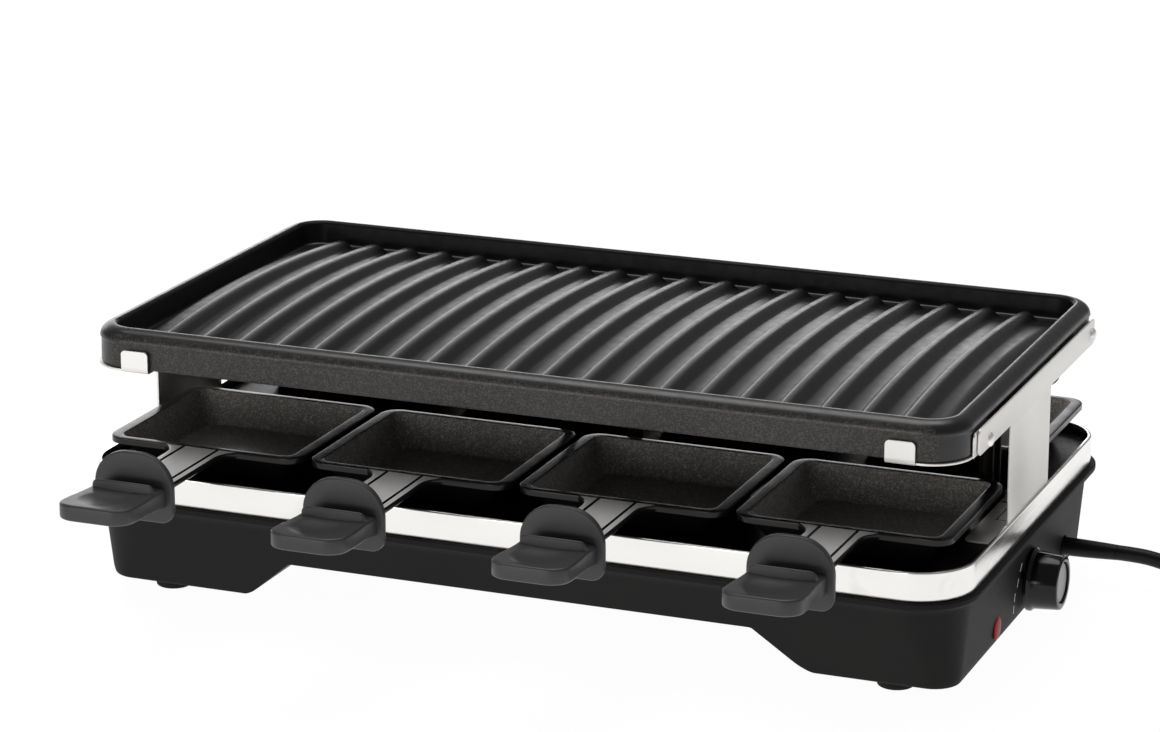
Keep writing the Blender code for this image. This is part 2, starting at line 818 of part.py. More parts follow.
def pan_sections():
    """Rings of a pan: floor below, sloping wall, folded lip, flat rim, and down again inside."""
    x, y, r, t = pan_width / 2, pan_depth / 2, pan_corner, pan_sheet
    low, top = 0, pan_height
    mouth_x, mouth_y, mouth_r = x - pan_side_rim, y - pan_end_rim, r - pan_end_rim
    floor_x, floor_y = mouth_x - pan_wall_run, mouth_y - pan_wall_run
    soft = pan_edge_round
    return [
        (floor_x - pan_floor_round, floor_y - pan_floor_round, pan_floor_corner, low),
        (floor_x + t, floor_y + t, pan_floor_corner + t, low + pan_floor_round),
        (mouth_x + t, mouth_y + t, mouth_r + t, top - t - soft),
        (x - t, y - t, r - t, top - t - soft),
        (x - t, y - t, r - t, top - pan_lip),
        (x, y, r, top - pan_lip),
        (x, y, r, top - soft),
        (x - soft, y - soft, r - soft, top),
        (mouth_x + soft, mouth_y + soft, mouth_r + soft, top),
        (mouth_x, mouth_y, mouth_r, top - soft),
        (floor_x, floor_y, pan_floor_corner, low + t + pan_floor_round),
        (floor_x - pan_floor_round, floor_y - pan_floor_round, pan_floor_corner, low + t),
    ]


def make_pan(coated):
    """Pressed pan with its stem; the pan's own origin is the middle of its floor."""
    rings = [ring(rounded_rectangle(a, b, r, pan_corner_steps), z) for a, b, r, z in pan_sections()]
    pan = skin("pan_front_1", rings, coated)
    t, half = pan_sheet, stem_width / 2
    top = pan_height - stem_drop
    start = -pan_depth / 2 + pan_end_rim / 2
    end = -pan_depth / 2 - stem_reach
    panel, slope, depth = stem_panel_half, stem_panel_slope, stem_panel_depth
    upper = [
        (-half, top - stem_edge),
        (-half, top),
        (-panel - slope, top),
        (-panel, top - depth),
        (panel, top - depth),
        (panel + slope, top),
        (half, top),
        (half, top - stem_edge),
    ]
    lower = [
        (half - t, top - stem_edge),
        (half - t, top - t),
        (panel + slope + t, top - t),
        (panel + t, top - depth - t),
        (-panel - t, top - depth - t),
        (-panel - slope - t, top - t),
        (-half + t, top - t),
        (-half + t, top - stem_edge),
    ]
    stem = slab("stem", upper + lower, end, start, "y")
    combine(pan, stem, "UNION")
    edge_y = -pan_depth / 2
    web_top, web_low, web_start = top - stem_drop, top - t - stem_drop, start - t / 2
    for side in (-1, 1):
        web = [
            (side * (half + stem_root_round), web_start),
            (side * (half + stem_root_round), edge_y),
        ]
        for k in range(pan_corner_steps + 1):
            angle = math.pi / 2 * k / pan_corner_steps
            web.append((
                side * (half + stem_root_round * (1 - math.sin(angle))),
                edge_y - stem_root_round * (1 - math.cos(angle)),
            ))
        web += [(side * (half - t / 2), edge_y - stem_root_round), (side * (half - t / 2), web_start)]
        combine(pan, slab("root_web", web, web_low, web_top), "UNION")
    tongue_top = top - depth - t / 4
    tongue_low = tongue_top - t
    tongue = box(
        "tongue",
        (-tongue_width / 2, end - tongue_length, tongue_low),
        (tongue_width / 2, end + tongue_length / 4, tongue_top),
    )
    combine(pan, tongue, "UNION")
    return seat(pan)


def make_handle(plastic):
    """Moulded grip with its heat shield and thumb stop, pushed on the pan's stem."""
    back = -pan_depth / 2 - stem_reach - seat_gap
    front = back - shield_thick
    low = pan_height - stem_drop - stem_edge - shield_drop
    high = low + shield_height
    half = shield_width / 2

    def shield_outline(inset):
        side, bottom, crest = half - inset, low + inset, high - inset
        points = [(-side, bottom), (side, bottom), (side, crest), (-side, crest)]
        foot, top = shield_foot_corner - inset, shield_top_corner - inset
        return rounded_outline(points, [foot, foot, top, top], handle_corner_steps)

    levels = [
        (shield_round, front),
        (0, front + shield_round),
        (0, back - shield_round),
        (shield_round, back),
    ]
    shield = [ring(shield_outline(inset), y, "y") for inset, y in levels]
    handle = skin("pan_handle_front_1", shield, plastic)

    grip_z = pan_height - stem_drop - stem_edge / 2 - grip_root_drop + grip_thick / 2
    tip = front - grip_length
    lean = grip_rise / grip_length
    inner = front + shield_thick / 2
    stations = [
        (grip_root_width, grip_thick, inner),
        (grip_root_width, grip_thick, front - ridge_run),
        (grip_width, grip_tip_thick, front - grip_length / 2),
    ]
    for run_share, width_share, thick_share in grip_tip_shares:
        width = grip_width - 2 * width_share * grip_tip_corner
        thick = grip_tip_thick - thick_share * grip_corner
        stations.append((width, thick, tip + run_share * grip_tip_corner))
    rings = []
    for width, thick, y in stations:
        middle = (0, grip_z + (front - y) * lean)
        section = rounded_rectangle(width / 2, thick / 2, grip_round_share * thick, grip_corner_steps, middle)
        rings.append(ring(section, y, "y"))
    combine(handle, skin("grip", rings), "UNION")
    ridge_z = grip_z + grip_thick / 2
    ridge = [
        (inner, ridge_z - grip_corner),
        (front - ridge_run, ridge_z - grip_corner),
        (front - ridge_run, ridge_z + ridge_height / 2),
        (front - ridge_run / 2, ridge_z + ridge_height),
        (inner, ridge_z + ridge_height),
    ]
    combine(handle, slab("thumb_stop", ridge, -ridge_width / 2, ridge_width / 2, "x"), "UNION")

    tongue_top = pan_height - stem_drop - stem_panel_depth - pan_sheet / 4
    socket = box(
        "socket",
        (-tongue_width / 2 - seat_gap, back - tongue_length - seat_gap, tongue_top - pan_sheet - seat_gap),
        (tongue_width / 2 + seat_gap, back + overrun, tongue_top + seat_gap),
    )
    combine(handle, socket, "DIFFERENCE")
    return seat(handle)


def make_pans(coated, plastic):
    """Eight pans with their handles, four in front and four behind, turned half round."""
    pan = make_pan(coated)
    handle = make_handle(plastic)
    middle = pan_front_y + pan_depth / 2
    rows = {"front": (middle, 0), "back": (-middle + pan_row_pull, math.pi)}
    for row, (y, turn) in rows.items():
        for column in range(pan_columns):
            x = (column - (pan_columns - 1) / 2) * pan_pitch
            place = (x, y, pan_bottom)
            if row == "front" and column == 0:
                pan.location = place
                handle.location = place
                continue
            copy_at(pan, f"pan_{row}_{column + 1}", place, turn)
            copy_at(handle, f"pan_handle_{row}_{column + 1}", place, turn)


def make_heater(sheathed):
    """Tubular heater: four runs under the plate, its two ends bent down through the deck."""
    z = heater_z
    low = deck_top - deck_sheet - heater_end_drop
    run, inner = heater_run_y, heater_inner_y
    first, second = heater_end_y
    points = [
        (heater_end_x, first, low),
        (heater_end_x, first, z),
        (heater_end_x, -run, z),
        (-heater_far_x, -run, z),
        (-heater_far_x, -inner, z),
        (heater_return_x + heater_bend, -inner, z),
        (heater_return_x + heater_bend, inner, z),
        (-heater_far_x, inner, z),
        (-heater_far_x, run, z),
        (heater_end_x, run, z),
        (heater_end_x, second, z),
        (heater_end_x, second, low),
    ]
    path = rounded_path(points, heater_bend, heater_bend_steps)
    return tube("heating_element", path, heater_radius, tube_resolution, sheathed)


def make_supports(painted):
    """Two sheet posts on the deck, each with a cross bar under the heater's runs."""
    bar_top = heater_z - heater_radius - seat_gap
    half_x, half_t = support_width / 2, support_sheet / 2
    foot_low = deck_top + seat_gap
    bar_half = support_bar_length / 2
    for name, x in zip(("left", "right"), support_x):
        post = box(
            f"heater_support_{name}",
            (x - half_x, -half_t, foot_low + half_t),
            (x + half_x, half_t, bar_top - half_t),
            finish=painted,
        )
        inset = support_sheet / 10
        bar_low = bar_top - support_sheet
        bar = box("bar", (x - half_x - inset, -bar_half, bar_low), (x + half_x + inset, bar_half, bar_top))
        combine(post, bar, "UNION")
        foot_half = support_foot_depth / 2
        foot = box(
            "foot",
            (x - half_x - inset, -foot_half, foot_low),
            (x + half_x + inset, foot_half, foot_low + support_sheet),
        )
        combine(post, foot, "UNION")
        for side in (-1, 1):
            ys = sorted((side * bar_half, side * (bar_half - support_sheet)))
            tab_low = bar_top - half_t
            tab_high = bar_top + support_tab_height
            low = (x - half_x, ys[0] - inset * side, tab_low)
            tab = box("tab", low, (x + half_x, ys[1] - inset * side, tab_high))
            combine(post, tab, "UNION")
        seat(post, (x, 0, foot_low))


def terminal_place():
    """Middle of the terminal block, under the heater's ends or beside the wall, and its two levels."""
    low = knob_z + thermostat_height / 2 + seat_gap
    high = deck_top - deck_sheet - heater_end_drop - seat_gap
    beside_wall = inside_wall_x((low + high) / 2, (high - low) / 2) - seat_gap - terminal_length / 2
    return min(heater_end_x, beside_wall), sum(heater_end_y) / 2, low, high


def make_controls(black, grey, steel, red, phenolic):
    """Thermostat with its shaft and knob, terminal block, and the indicator lamp."""
    wall_in = inside_wall_x(knob_z, thermostat_height / 2) - seat_gap
    half_w, half_h = thermostat_width / 2, thermostat_height / 2
    back = wall_in - thermostat_length
    thermostat = box(
        "thermostat",
        (back, knob_y - half_w, knob_z - half_h),
        (wall_in, knob_y + half_w, knob_z + half_h),
        thermostat_round, "x", phenolic,
    )
    bore = shaft_radius + seat_gap
    start = wall_in - shaft_engage - seat_gap
    profile = [(bore, start), (bore, wall_in + overrun)]
    combine(thermostat, turned("bore", profile, lens_sides, "x", (knob_y, knob_z)), "DIFFERENCE")
    seat(thermostat, (back, knob_y, knob_z))

    block_x, block_y, block_low, block_high = terminal_place()
    block = box(
        "terminal_block",
        (block_x - terminal_length / 2, block_y - terminal_width / 2, block_low),
        (block_x + terminal_length / 2, block_y + terminal_width / 2, block_high),
        terminal_round, "x", phenolic,
    )
    seat(block, (block_x, block_y, block_low))

    wall_out = outside_wall_x(knob_z, knob_flange_radius) + seat_gap
    axis = (knob_y, knob_z)
    face = wall_out + knob_length
    bore_end = wall_out + shaft_knob_engage
    shaft_profile = [(shaft_radius, wall_in - shaft_engage), (shaft_radius, bore_end)]
    shaft = turned("knob_shaft", shaft_profile, lens_sides, "x", axis, steel)
    seat(shaft, (wall_out, *axis))

    knob_profile = [
        (knob_flange_radius, wall_out),
        (knob_flange_radius, wall_out + knob_flange - knob_round),
        (knob_flange_radius - knob_round, wall_out + knob_flange),
        (knob_radius, wall_out + knob_flange),
        (knob_face_radius, face - knob_round),
        (knob_face_radius - knob_round / 2, face),
        (knob_insert_radius + seat_gap, face),
        (knob_insert_radius + seat_gap, face - knob_insert_depth - seat_gap),
    ]
    knob = turned("control_knob", knob_profile, knob_sides, "x", axis, black)
    bore_profile = [(bore, wall_out - overrun), (bore, bore_end + seat_gap)]
    combine(knob, turned("shaft_bore", bore_profile, lens_sides, "x", axis), "DIFFERENCE")
    groove_low = knob_z + knob_face_radius - knob_pointer_depth
    groove = box(
        "pointer_groove",
        (face - knob_length / 2, knob_y - knob_pointer_width / 2, groove_low),
        (face + overrun, knob_y + knob_pointer_width / 2, knob_z + knob_radius + overrun),
    )
    combine(knob, groove, "DIFFERENCE")
    seat(knob, (wall_out, *axis))
    insert_profile = [
        (knob_insert_radius, face - knob_insert_depth),
        (knob_insert_radius, face - seat_gap),
        (knob_insert_radius - knob_round / 2, face),
    ]
    seat(turned("knob_insert", insert_profile, knob_sides, "x", axis, grey), (wall_out, *axis))

    lens_out = outside_wall_x(lens_z, lens_radius) + seat_gap
    lens_in = inside_wall_x(lens_z, 0) - lens_barrel_reach
    lens_profile = [
        (lens_barrel_radius, lens_in),
        (lens_barrel_radius, lens_out),
        (lens_radius, lens_out),
        (lens_radius, lens_out + lens_flange / 2),
        (lens_radius / 2, lens_out + lens_flange),
    ]
    lens = turned("indicator_lens", lens_profile, lens_sides, "x", (lens_y, lens_z), red)
    seat(lens, (lens_out, lens_y, lens_z))
    holder_half = lamp_holder_half
    holder = box(
        "lamp_holder",
        (lens_in - seat_gap - lamp_holder_length, lens_y - holder_half, lens_z - holder_half),
        (lens_in - seat_gap, lens_y + holder_half, lens_z + holder_half),
        terminal_round, "x", phenolic,
    )
    seat(holder, (lens_in, lens_y, lens_z))


def coil_points():
    """Turns of the put-away cord: in on the table, up a layer in half a turn, and out again."""
    centre_y = coil_start_y + coil_radius
    drift = coil_pitch / (2 * math.pi)
    lay = 2 * math.pi * coil_layer_turns
    total = 2 * lay + math.pi
    steps = round(total / (2 * math.pi) * coil_points_per_turn)
    low = cord_radius + cord_lift
    inner = coil_radius - drift * lay
    points = [(coil_x - 2 * cord_radius, coil_start_y, low)]
    for k in range(steps + 1):
        turn = total * k / steps
        climb = min(max((turn - lay) / math.pi, 0), 1)
        if turn < lay:
            radius = coil_radius - drift * turn
        elif turn < lay + math.pi:
            past = turn - lay
            radius = inner - drift * past + drift * past * past / math.pi
        else:
            radius = inner + drift * (turn - lay - math.pi)
        height = low + coil_layer * climb * climb * (3 - 2 * climb)
        angle = turn - math.pi / 2
        points.append((coil_x + radius * math.cos(angle), centre_y + radius * math.sin(angle), height))
    x, y, z = points[-1]
    points.append((x, y + coil_lead_out, z))
    return points


def least_gap(points, diameter):
    """Smallest clear distance between parts of a cord that aren't neighbours along it."""
    path = np.array(points)
    run = np.concatenate([[0], np.cumsum(np.linalg.norm(np.diff(path, axis=0), axis=1))])
    even = np.arange(0, run[-1], diameter / 4)
    fine = np.column_stack([np.interp(even, run, path[:, k]) for k in range(3)])
    apart = np.linalg.norm(fine[:, None, :] - fine[None, :, :], axis=2)
    far = np.abs(even[:, None] - even[None, :]) > 4 * diameter
    return apart[far].min() - diameter


def make_cord(pvc, nickel):
    """Strain relief, free stretch, coil and plug of the mains lead, and its lead inside the base."""
    wall = end_wall_x(cord_exit_z)
    inside = inside_wall_x(cord_exit_z, relief_flange_radius) - seat_gap
    tip = wall + relief_length
    relief_profile = [
        (relief_flange_radius, inside - relief_flange),
        (relief_flange_radius, inside),
        (relief_radius, inside),
        (relief_radius, wall + relief_length / 4),
        (relief_tip_radius, tip),
    ]
    exit_axis = (cord_exit_y, cord_exit_z)
    relief = turned("cord_strain_relief", relief_profile, relief_sides, "x", exit_axis, pvc)
    seat(relief, (wall, *exit_axis))

    low = cord_radius + cord_lift
    last = (coil_x - 2 * cord_radius - seat_gap, coil_start_y, low)
    route = [(tip + seat_gap, *exit_axis), *cord_route, last]
    tube("power_cord", smooth_path(route, cord_spacing), cord_radius, tube_resolution, pvc)
    turns = coil_points()
    tube("cord_coil", turns, cord_radius, coil_resolution, pvc)
    print("least gap of the cord coil to itself, mm:", round(least_gap(turns, 2 * cord_radius) * 1000, 2))

    x, y, z = turns[-1]
    boss_tip = y + seat_gap
    centre = (x, boss_tip + plug_boss_length + plug_radius)
    plug_profile = [
        (plug_radius - plug_round, 0),
        (plug_radius, plug_round),
        (plug_radius, plug_height - plug_round),
        (plug_radius - plug_round, plug_height),
    ]
    plug = turned("plug_body", plug_profile, plug_sides, "z", centre, pvc)
    boss_profile = [(plug_boss_tip_radius, boss_tip), (plug_boss_radius, centre[1] - plug_radius / 2)]
    combine(plug, turned("boss", boss_profile, relief_sides, "y", (x, z), pvc), "UNION")
    for side in (-1, 1):
        xs = sorted((side * (plug_radius - plug_notch_depth), side * (plug_radius + overrun)))
        notch = box(
            "earth_notch",
            (centre[0] + xs[0], centre[1] - plug_notch_width / 2, plug_height / 2),
            (centre[0] + xs[1], centre[1] + plug_notch_width / 2, plug_height + overrun),
        )
        combine(plug, notch, "DIFFERENCE")
    seat(plug, (*centre, 0))
    start = plug_height + seat_gap
    for number, side in enumerate((-1, 1), start=1):
        place = (centre[0] + side * pin_spacing / 2, centre[1])
        pin_profile = [
            (pin_radius, start),
            (pin_radius, start + pin_length - pin_round),
            (pin_radius - pin_round, start + pin_length),
        ]
        seat(turned(f"plug_pin_{number}", pin_profile, relief_sides, "z", place, nickel), (*place, start))

    lead_start = (inside - relief_flange - seat_gap, *exit_axis)
    block_x, block_y, block_low, block_high = terminal_place()
    block_side = block_y + terminal_width / 2 + seat_gap
    block_z = (block_low + block_high) / 2
    beside_wall = inside_wall_x(block_z, inner_lead_radius) - seat_gap - inner_lead_radius
    bend_x = min(lead_start[0] - inner_lead_run, beside_wall)
    lead = [lead_start, (bend_x, *exit_axis)]
    lead += [(bend_x, cord_exit_y, block_z), (block_x, block_side, block_z)]
    path = rounded_path(lead, inner_lead_radius * 2, heater_bend_steps)
    tube("inner_lead", path, inner_lead_radius, coil_resolution, pvc)


def centre_footprint():
    """Moves all pieces so that the origin lies midway between handles, knob and left lip."""
    right = outside_wall_x(knob_z, knob_flange_radius) + seat_gap + knob_length
    left = -(ring_half_x + lip_proud)
    middle = Vector(((left + right) / 2, pan_row_pull / 2, 0))
    for made in bpy.context.scene.objects:
        made.location -= middle
    print("footprint middle from the base's middle, mm:", [round(value * 1000, 3) for value in middle])


def build():
    """Clears the scene and makes every piece of the grill."""
    for old in list(bpy.data.objects):
        bpy.data.objects.remove(old)
    plastic = material("black_moulded_plastic", (0.020, 0.020, 0.021), 0.50)
    rubber = material("black_rubber", (0.015, 0.015, 0.015), 0.85)
    steel = material("stainless_sheet", (0.68, 0.67, 0.66), 0.28, 1.0)
    enamel = material("black_enamelled_sheet", (0.012, 0.012, 0.012), 0.45)
    cast = material("coated_cast_aluminium", (0.030, 0.029, 0.028), 0.42)
    coated = material("coated_pan_sheet", (0.030, 0.029, 0.028), 0.40)
    grip = material("matt_handle_plastic", (0.032, 0.032, 0.033), 0.60)
    sheathed = material("heater_sheath", (0.20, 0.19, 0.18), 0.40, 1.0)
    painted = material("black_painted_steel", (0.015, 0.015, 0.015), 0.55)
    knob_black = material("gloss_knob_plastic", (0.012, 0.012, 0.012), 0.25)
    grey = material("grey_knob_insert", (0.45, 0.45, 0.45), 0.35)
    red = material("red_lamp_lens", (0.55, 0.02, 0.01), 0.20)
    phenolic = material("brown_phenolic", (0.06, 0.035, 0.02), 0.55)
    pvc = material("black_cord_sheath", (0.012, 0.012, 0.012), 0.50)
    nickel = material("nickel_plated_brass", (0.62, 0.58, 0.50), 0.25, 1.0)

    make_feet(rubber)
    make_base(plastic)
    make_ring(steel)
    make_deck(enamel)
    mirrored(make_bracket(steel), "end_bracket_left")
    mirrored(make_carrier(steel), "plate_carrier_left")
    make_plate(cast)
    make_pans(coated, grip)
    make_heater(sheathed)
    make_supports(painted)
    make_controls(knob_black, grey, nickel, red, phenolic)
    make_cord(pvc, nickel)
    centre_footprint()


build()
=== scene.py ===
import math

import bpy
import numpy as np
from mathutils import Matrix, Vector


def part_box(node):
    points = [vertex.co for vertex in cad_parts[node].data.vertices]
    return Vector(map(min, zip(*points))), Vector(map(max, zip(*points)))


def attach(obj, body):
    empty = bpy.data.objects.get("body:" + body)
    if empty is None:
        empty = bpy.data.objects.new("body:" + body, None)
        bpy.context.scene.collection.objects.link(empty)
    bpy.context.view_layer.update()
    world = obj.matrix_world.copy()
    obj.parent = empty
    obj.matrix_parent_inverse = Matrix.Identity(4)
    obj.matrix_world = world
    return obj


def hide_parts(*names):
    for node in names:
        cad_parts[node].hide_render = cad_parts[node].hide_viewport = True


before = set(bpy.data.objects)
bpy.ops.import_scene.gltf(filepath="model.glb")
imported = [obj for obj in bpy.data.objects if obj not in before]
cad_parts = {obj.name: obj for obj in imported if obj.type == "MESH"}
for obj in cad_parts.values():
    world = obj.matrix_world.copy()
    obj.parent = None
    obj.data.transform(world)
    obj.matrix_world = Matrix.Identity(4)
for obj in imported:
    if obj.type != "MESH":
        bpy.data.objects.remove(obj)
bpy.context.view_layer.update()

# Sizes are millimetres from the middle of the base, +X to the knob, +Y to the back, table at zero
ringLow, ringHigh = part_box("trim_ring")
baseMiddle = np.array(((ringLow.x + ringHigh.x) / 2, (ringLow.y + ringHigh.y) / 2, 0.0))


# Own millimetres to the frame's metres
def toFrame(points):
    return np.asarray(points, float) / 1000 + baseMiddle


# Low and high corner of a CAD node, in own millimetres
def boxOf(node):
    return [(np.array(corner) - baseMiddle) * 1000 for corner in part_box(node)]


# Shapes: each function gives a shell, which is its points and its faces


def quarterTurn(steps):
    return np.linspace(0, math.pi / 2, steps + 1)


# Every corner of a polyline becomes a parabola that leaves and meets its sides at the cut's distance
def softRows(rows, cuts, steps, closed=False):
    rows = np.asarray(rows, float)
    count, most = len(rows), 0.49  # a cut takes less than half of a side
    share = np.linspace(0, 1, steps + 1)[:, None]
    made = []
    for i, cut in enumerate(cuts):
        atEnd = not closed and i in (0, count - 1)
        if cut <= 0 or atEnd:
            made.append(rows[i : i + 1])
            continue
        back, ahead = rows[i - 1] - rows[i], rows[(i + 1) % count] - rows[i]
        start = rows[i] + back * min(cut / np.linalg.norm(back), most)
        end = rows[i] + ahead * min(cut / np.linalg.norm(ahead), most)
        made.append(start * (1 - share) ** 2 + 2 * rows[i] * share * (1 - share) + end * share**2)
    return np.concatenate(made)


# Every corner of a closed outline becomes an arc of its own radius, tangent to both sides
def softOutline(corners, radii, steps=6):
    corners = np.asarray(corners, float)
    made = []
    for i, radius in enumerate(radii):
        here = corners[i]
        if radius <= 0:
            made.append(here[None])
            continue
        back, ahead = corners[i - 1] - here, corners[(i + 1) % len(corners)] - here
        back, ahead = back / np.linalg.norm(back), ahead / np.linalg.norm(ahead)
        half = math.acos(np.clip(back @ ahead, -1, 1)) / 2
        middle = here + (back + ahead) / np.linalg.norm(back + ahead) * radius / math.sin(half)
        start = here + back * radius / math.tan(half) - middle
        side = 1 if start[0] * (ahead - back)[1] - start[1] * (ahead - back)[0] > 0 else -1
        turn = side * np.linspace(0, math.pi - 2 * half, steps + 1)
        x = start[0] * np.cos(turn) - start[1] * np.sin(turn)
        y = start[0] * np.sin(turn) + start[1] * np.cos(turn)
        made.append(middle + np.column_stack([x, y]))
    return np.concatenate(made)


# Four quarter circles, centred one radius in from each corner and joined by straight sides
def roundedRect(halfX, halfY, radius, steps):
    parts = []
    for k, (a, b) in enumerate(((1, 1), (-1, 1), (-1, -1), (1, -1))):
        turn = quarterTurn(steps) + k * math.pi / 2
        x = a * (halfX - radius) + radius * np.cos(turn)
        parts.append(np.column_stack([x, b * (halfY - radius) + radius * np.sin(turn)]))
    return np.concatenate(parts)


# Neighbouring points of a grid make four-sided faces; where only its columns wrap, its ends are closed flat
def gridShell(grid, wrapRows=False, wrapColumns=True):
    rows, columns = grid.shape[:2]
    index = np.arange(rows * columns).reshape(rows, columns)
    low, high = (index, np.roll(index, -1, 0)) if wrapRows else (index[:-1], index[1:])
    if wrapColumns:
        quads = np.stack([low, np.roll(low, -1, 1), np.roll(high, -1, 1), high], -1)
    else:
        quads = np.stack([low[:, :-1], low[:, 1:], high[:, 1:], high[:, :-1]], -1)
    faces = quads.reshape(-1, 4).tolist()
    if wrapColumns and not wrapRows:
        faces += [index[0, ::-1].tolist(), index[-1].tolist()]
    return grid.reshape(-1, 3), faces


# A rounded rectangle (half length, half depth, corner radius) drawn in evenly, at a height
def drawnIn(size, inset, z):
    return size[0] - inset, size[1] - inset, size[2] - inset, z


# Rounded rectangles (half length, half depth, corner radius, height) stacked into a skin
def loft(rows, steps, ring=False):
    layers, sharpest = [], 0.05  # no corner gets a smaller radius
    for halfX, halfY, radius, z in rows:
        outline = roundedRect(halfX, halfY, max(radius, sharpest), steps)
        layers.append(np.column_stack([outline, np.full(len(outline), z)]))
    return gridShell(np.array(layers), wrapRows=ring)


# Quarter circles at both ends of a wall: how far each row is drawn in, and its level
def edgeRows(edge, low, high, steps):
    turn = quarterTurn(steps) if edge else np.zeros(1)
    inset, past = edge * (1 - np.sin(turn)), edge * (1 - np.cos(turn))
    return np.concatenate([inset, inset[::-1]]), np.concatenate([low + past, (high - past)[::-1]])


# Two coordinates across an axis and the level along it, in the order x, y, z
def laidOut(u, v, level, axis):
    order = {"z": (u, v, level), "y": (u, level, v), "x": (level, u, v)}
    return np.stack(order[axis], -1)


# A flat outline carried between two levels of an axis, its edges rounded by drawing it in
def slab(outline, low, high, axis="z", edge=0.0):
    outline = np.asarray(outline, float)
    after = np.roll(outline, -1, 0)
    along = after - np.roll(outline, 1, 0)
    along /= np.maximum(np.linalg.norm(along, axis=1), 1e-9)[:, None]
    area = np.sum(outline[:, 0] * after[:, 1] - outline[:, 1] * after[:, 0])
    inward = np.column_stack([-along[:, 1], along[:, 0]]) * (1 if area > 0 else -1)
    insets, levels = edgeRows(edge, low, high, 2)
    flat = outline + inward * insets[:, None, None]
    return gridShell(laidOut(flat[..., 0], flat[..., 1], np.repeat(levels[:, None], len(outline), 1), axis))


# A profile of (radius, level) swept round an axis
def turned(profile, axis, middle, sides):
    profile = np.asarray(profile, float)
    turn = np.linspace(0, 2 * math.pi, sides, endpoint=False)
    u = middle[0] + profile[:, :1] * np.cos(turn)
    v = middle[1] + profile[:, :1] * np.sin(turn)
    return gridShell(laidOut(u, v, np.repeat(profile[:, 1:], sides, 1), axis))


# A circle carried along a path; its frame is turned on from point to point without twist
def carried(path, radius, sides):
    tangent = np.gradient(path, axis=0)
    tangent /= np.linalg.norm(tangent, axis=1)[:, None]
    across = np.cross(tangent[0], (0, 0, 1.0) if abs(tangent[0][2]) < 0.9 else (1.0, 0, 0))
    turn = np.linspace(0, 2 * math.pi, sides, endpoint=False)[:, None]
    rows = []
    for point, ahead in zip(path, tangent):
        across = across - ahead * (across @ ahead)
        across /= np.linalg.norm(across)
        other = np.cross(ahead, across)
        rows.append(point + radius * (np.cos(turn) * across + np.sin(turn) * other))
    return gridShell(np.array(rows))


# The same shell, mirrored if asked, turned about the vertical, then shifted
def moved(shell, shift=(0, 0, 0), turn=0.0, flipX=False):
    points, faces = shell
    points = points * ((-1, 1, 1) if flipX else (1, 1, 1))
    c, s = math.cos(turn), math.sin(turn)
    return points @ np.array(((c, s, 0), (-s, c, 0), (0, 0, 1))) + np.asarray(shift, float), faces


# Sum of the tetrahedra between the points' middle and every face's fan of triangles
def volumeOf(points, faces):
    middle = points.mean(0)
    total = 0.0
    for size in {len(face) for face in faces}:
        fan = points[np.array([face for face in faces if len(face) == size])] - middle
        for k in range(1, size - 1):
            total += np.sum(fan[:, 0] * np.cross(fan[:, k], fan[:, k + 1]))
    return total / 6


def addObject(name, data):
    made = bpy.data.objects.new(name, data)
    bpy.context.scene.collection.objects.link(made)
    return made


# Shells put into one mesh; a shell that is inside out, by the sign of its volume, has its faces turned round
def rawObject(name, shells):
    points, faces, start = [], [], 0
    for shellPoints, shellFaces in shells:
        outward = volumeOf(shellPoints, shellFaces) > 0
        faces += [[start + i for i in (face if outward else face[::-1])] for face in shellFaces]
        points.append(toFrame(shellPoints))
        start += len(shellPoints)
    mesh = bpy.data.meshes.new(name)
    mesh.from_pydata(np.concatenate(points).tolist(), [], faces)
    return addObject(name, mesh)


# Finish, smooth faces with sharp creases, and what the frame has to know of a piece
def dress(piece, finish, slot, nodes=(), body="root", crease=40):
    piece.data.materials.clear()
    piece.data.materials.append(finish)
    piece.data.shade_smooth()
    piece.data.set_sharp_from_angle(angle=math.radians(crease))
    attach(piece, body)
    if nodes:
        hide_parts(*nodes)


def makePiece(name, shells, finish, slot, nodes=(), body="root", crease=40):
    piece = rawObject(name, shells)
    dress(piece, finish, slot, nodes, body, crease)
    return piece


# Middle of every face in own millimetres, and its normal
def facesOf(piece):
    middles, normals = np.empty((2, len(piece.data.polygons) * 3))
    piece.data.polygons.foreach_get("center", middles)
    piece.data.polygons.foreach_get("normal", normals)
    return (middles.reshape(-1, 3) - baseMiddle) * 1000, normals.reshape(-1, 3)


# More finishes for a piece, and the number of the finish that each face gets
def finishFaces(piece, more, numbers):
    for finish in more:
        piece.data.materials.append(finish)
    piece.data.polygons.foreach_set("material_index", numbers.astype(np.int32))


# Finishes


# sRGB hex to linear light, channel by channel
def linear(code):
    channels = [int(code[k : k + 2], 16) / 255 for k in (1, 3, 5)]
    return [c / 12.92 if c <= 0.04045 else ((c + 0.055) / 1.055) ** 2.4 for c in channels] + [1.0]


# Adds one node, sets its properties and sockets, and links its inputs
def addNode(tree, kind, settings=None, links=None):
    node = tree.nodes.new("ShaderNode" + kind)
    for key, value in (settings or {}).items():
        if isinstance(key, str) and hasattr(node, key) and key not in node.inputs:
            setattr(node, key, value)
        else:
            node.inputs[key].default_value = value
    for key, source in (links or {}).items():
        tree.links.new(source, node.inputs[key])
    return node


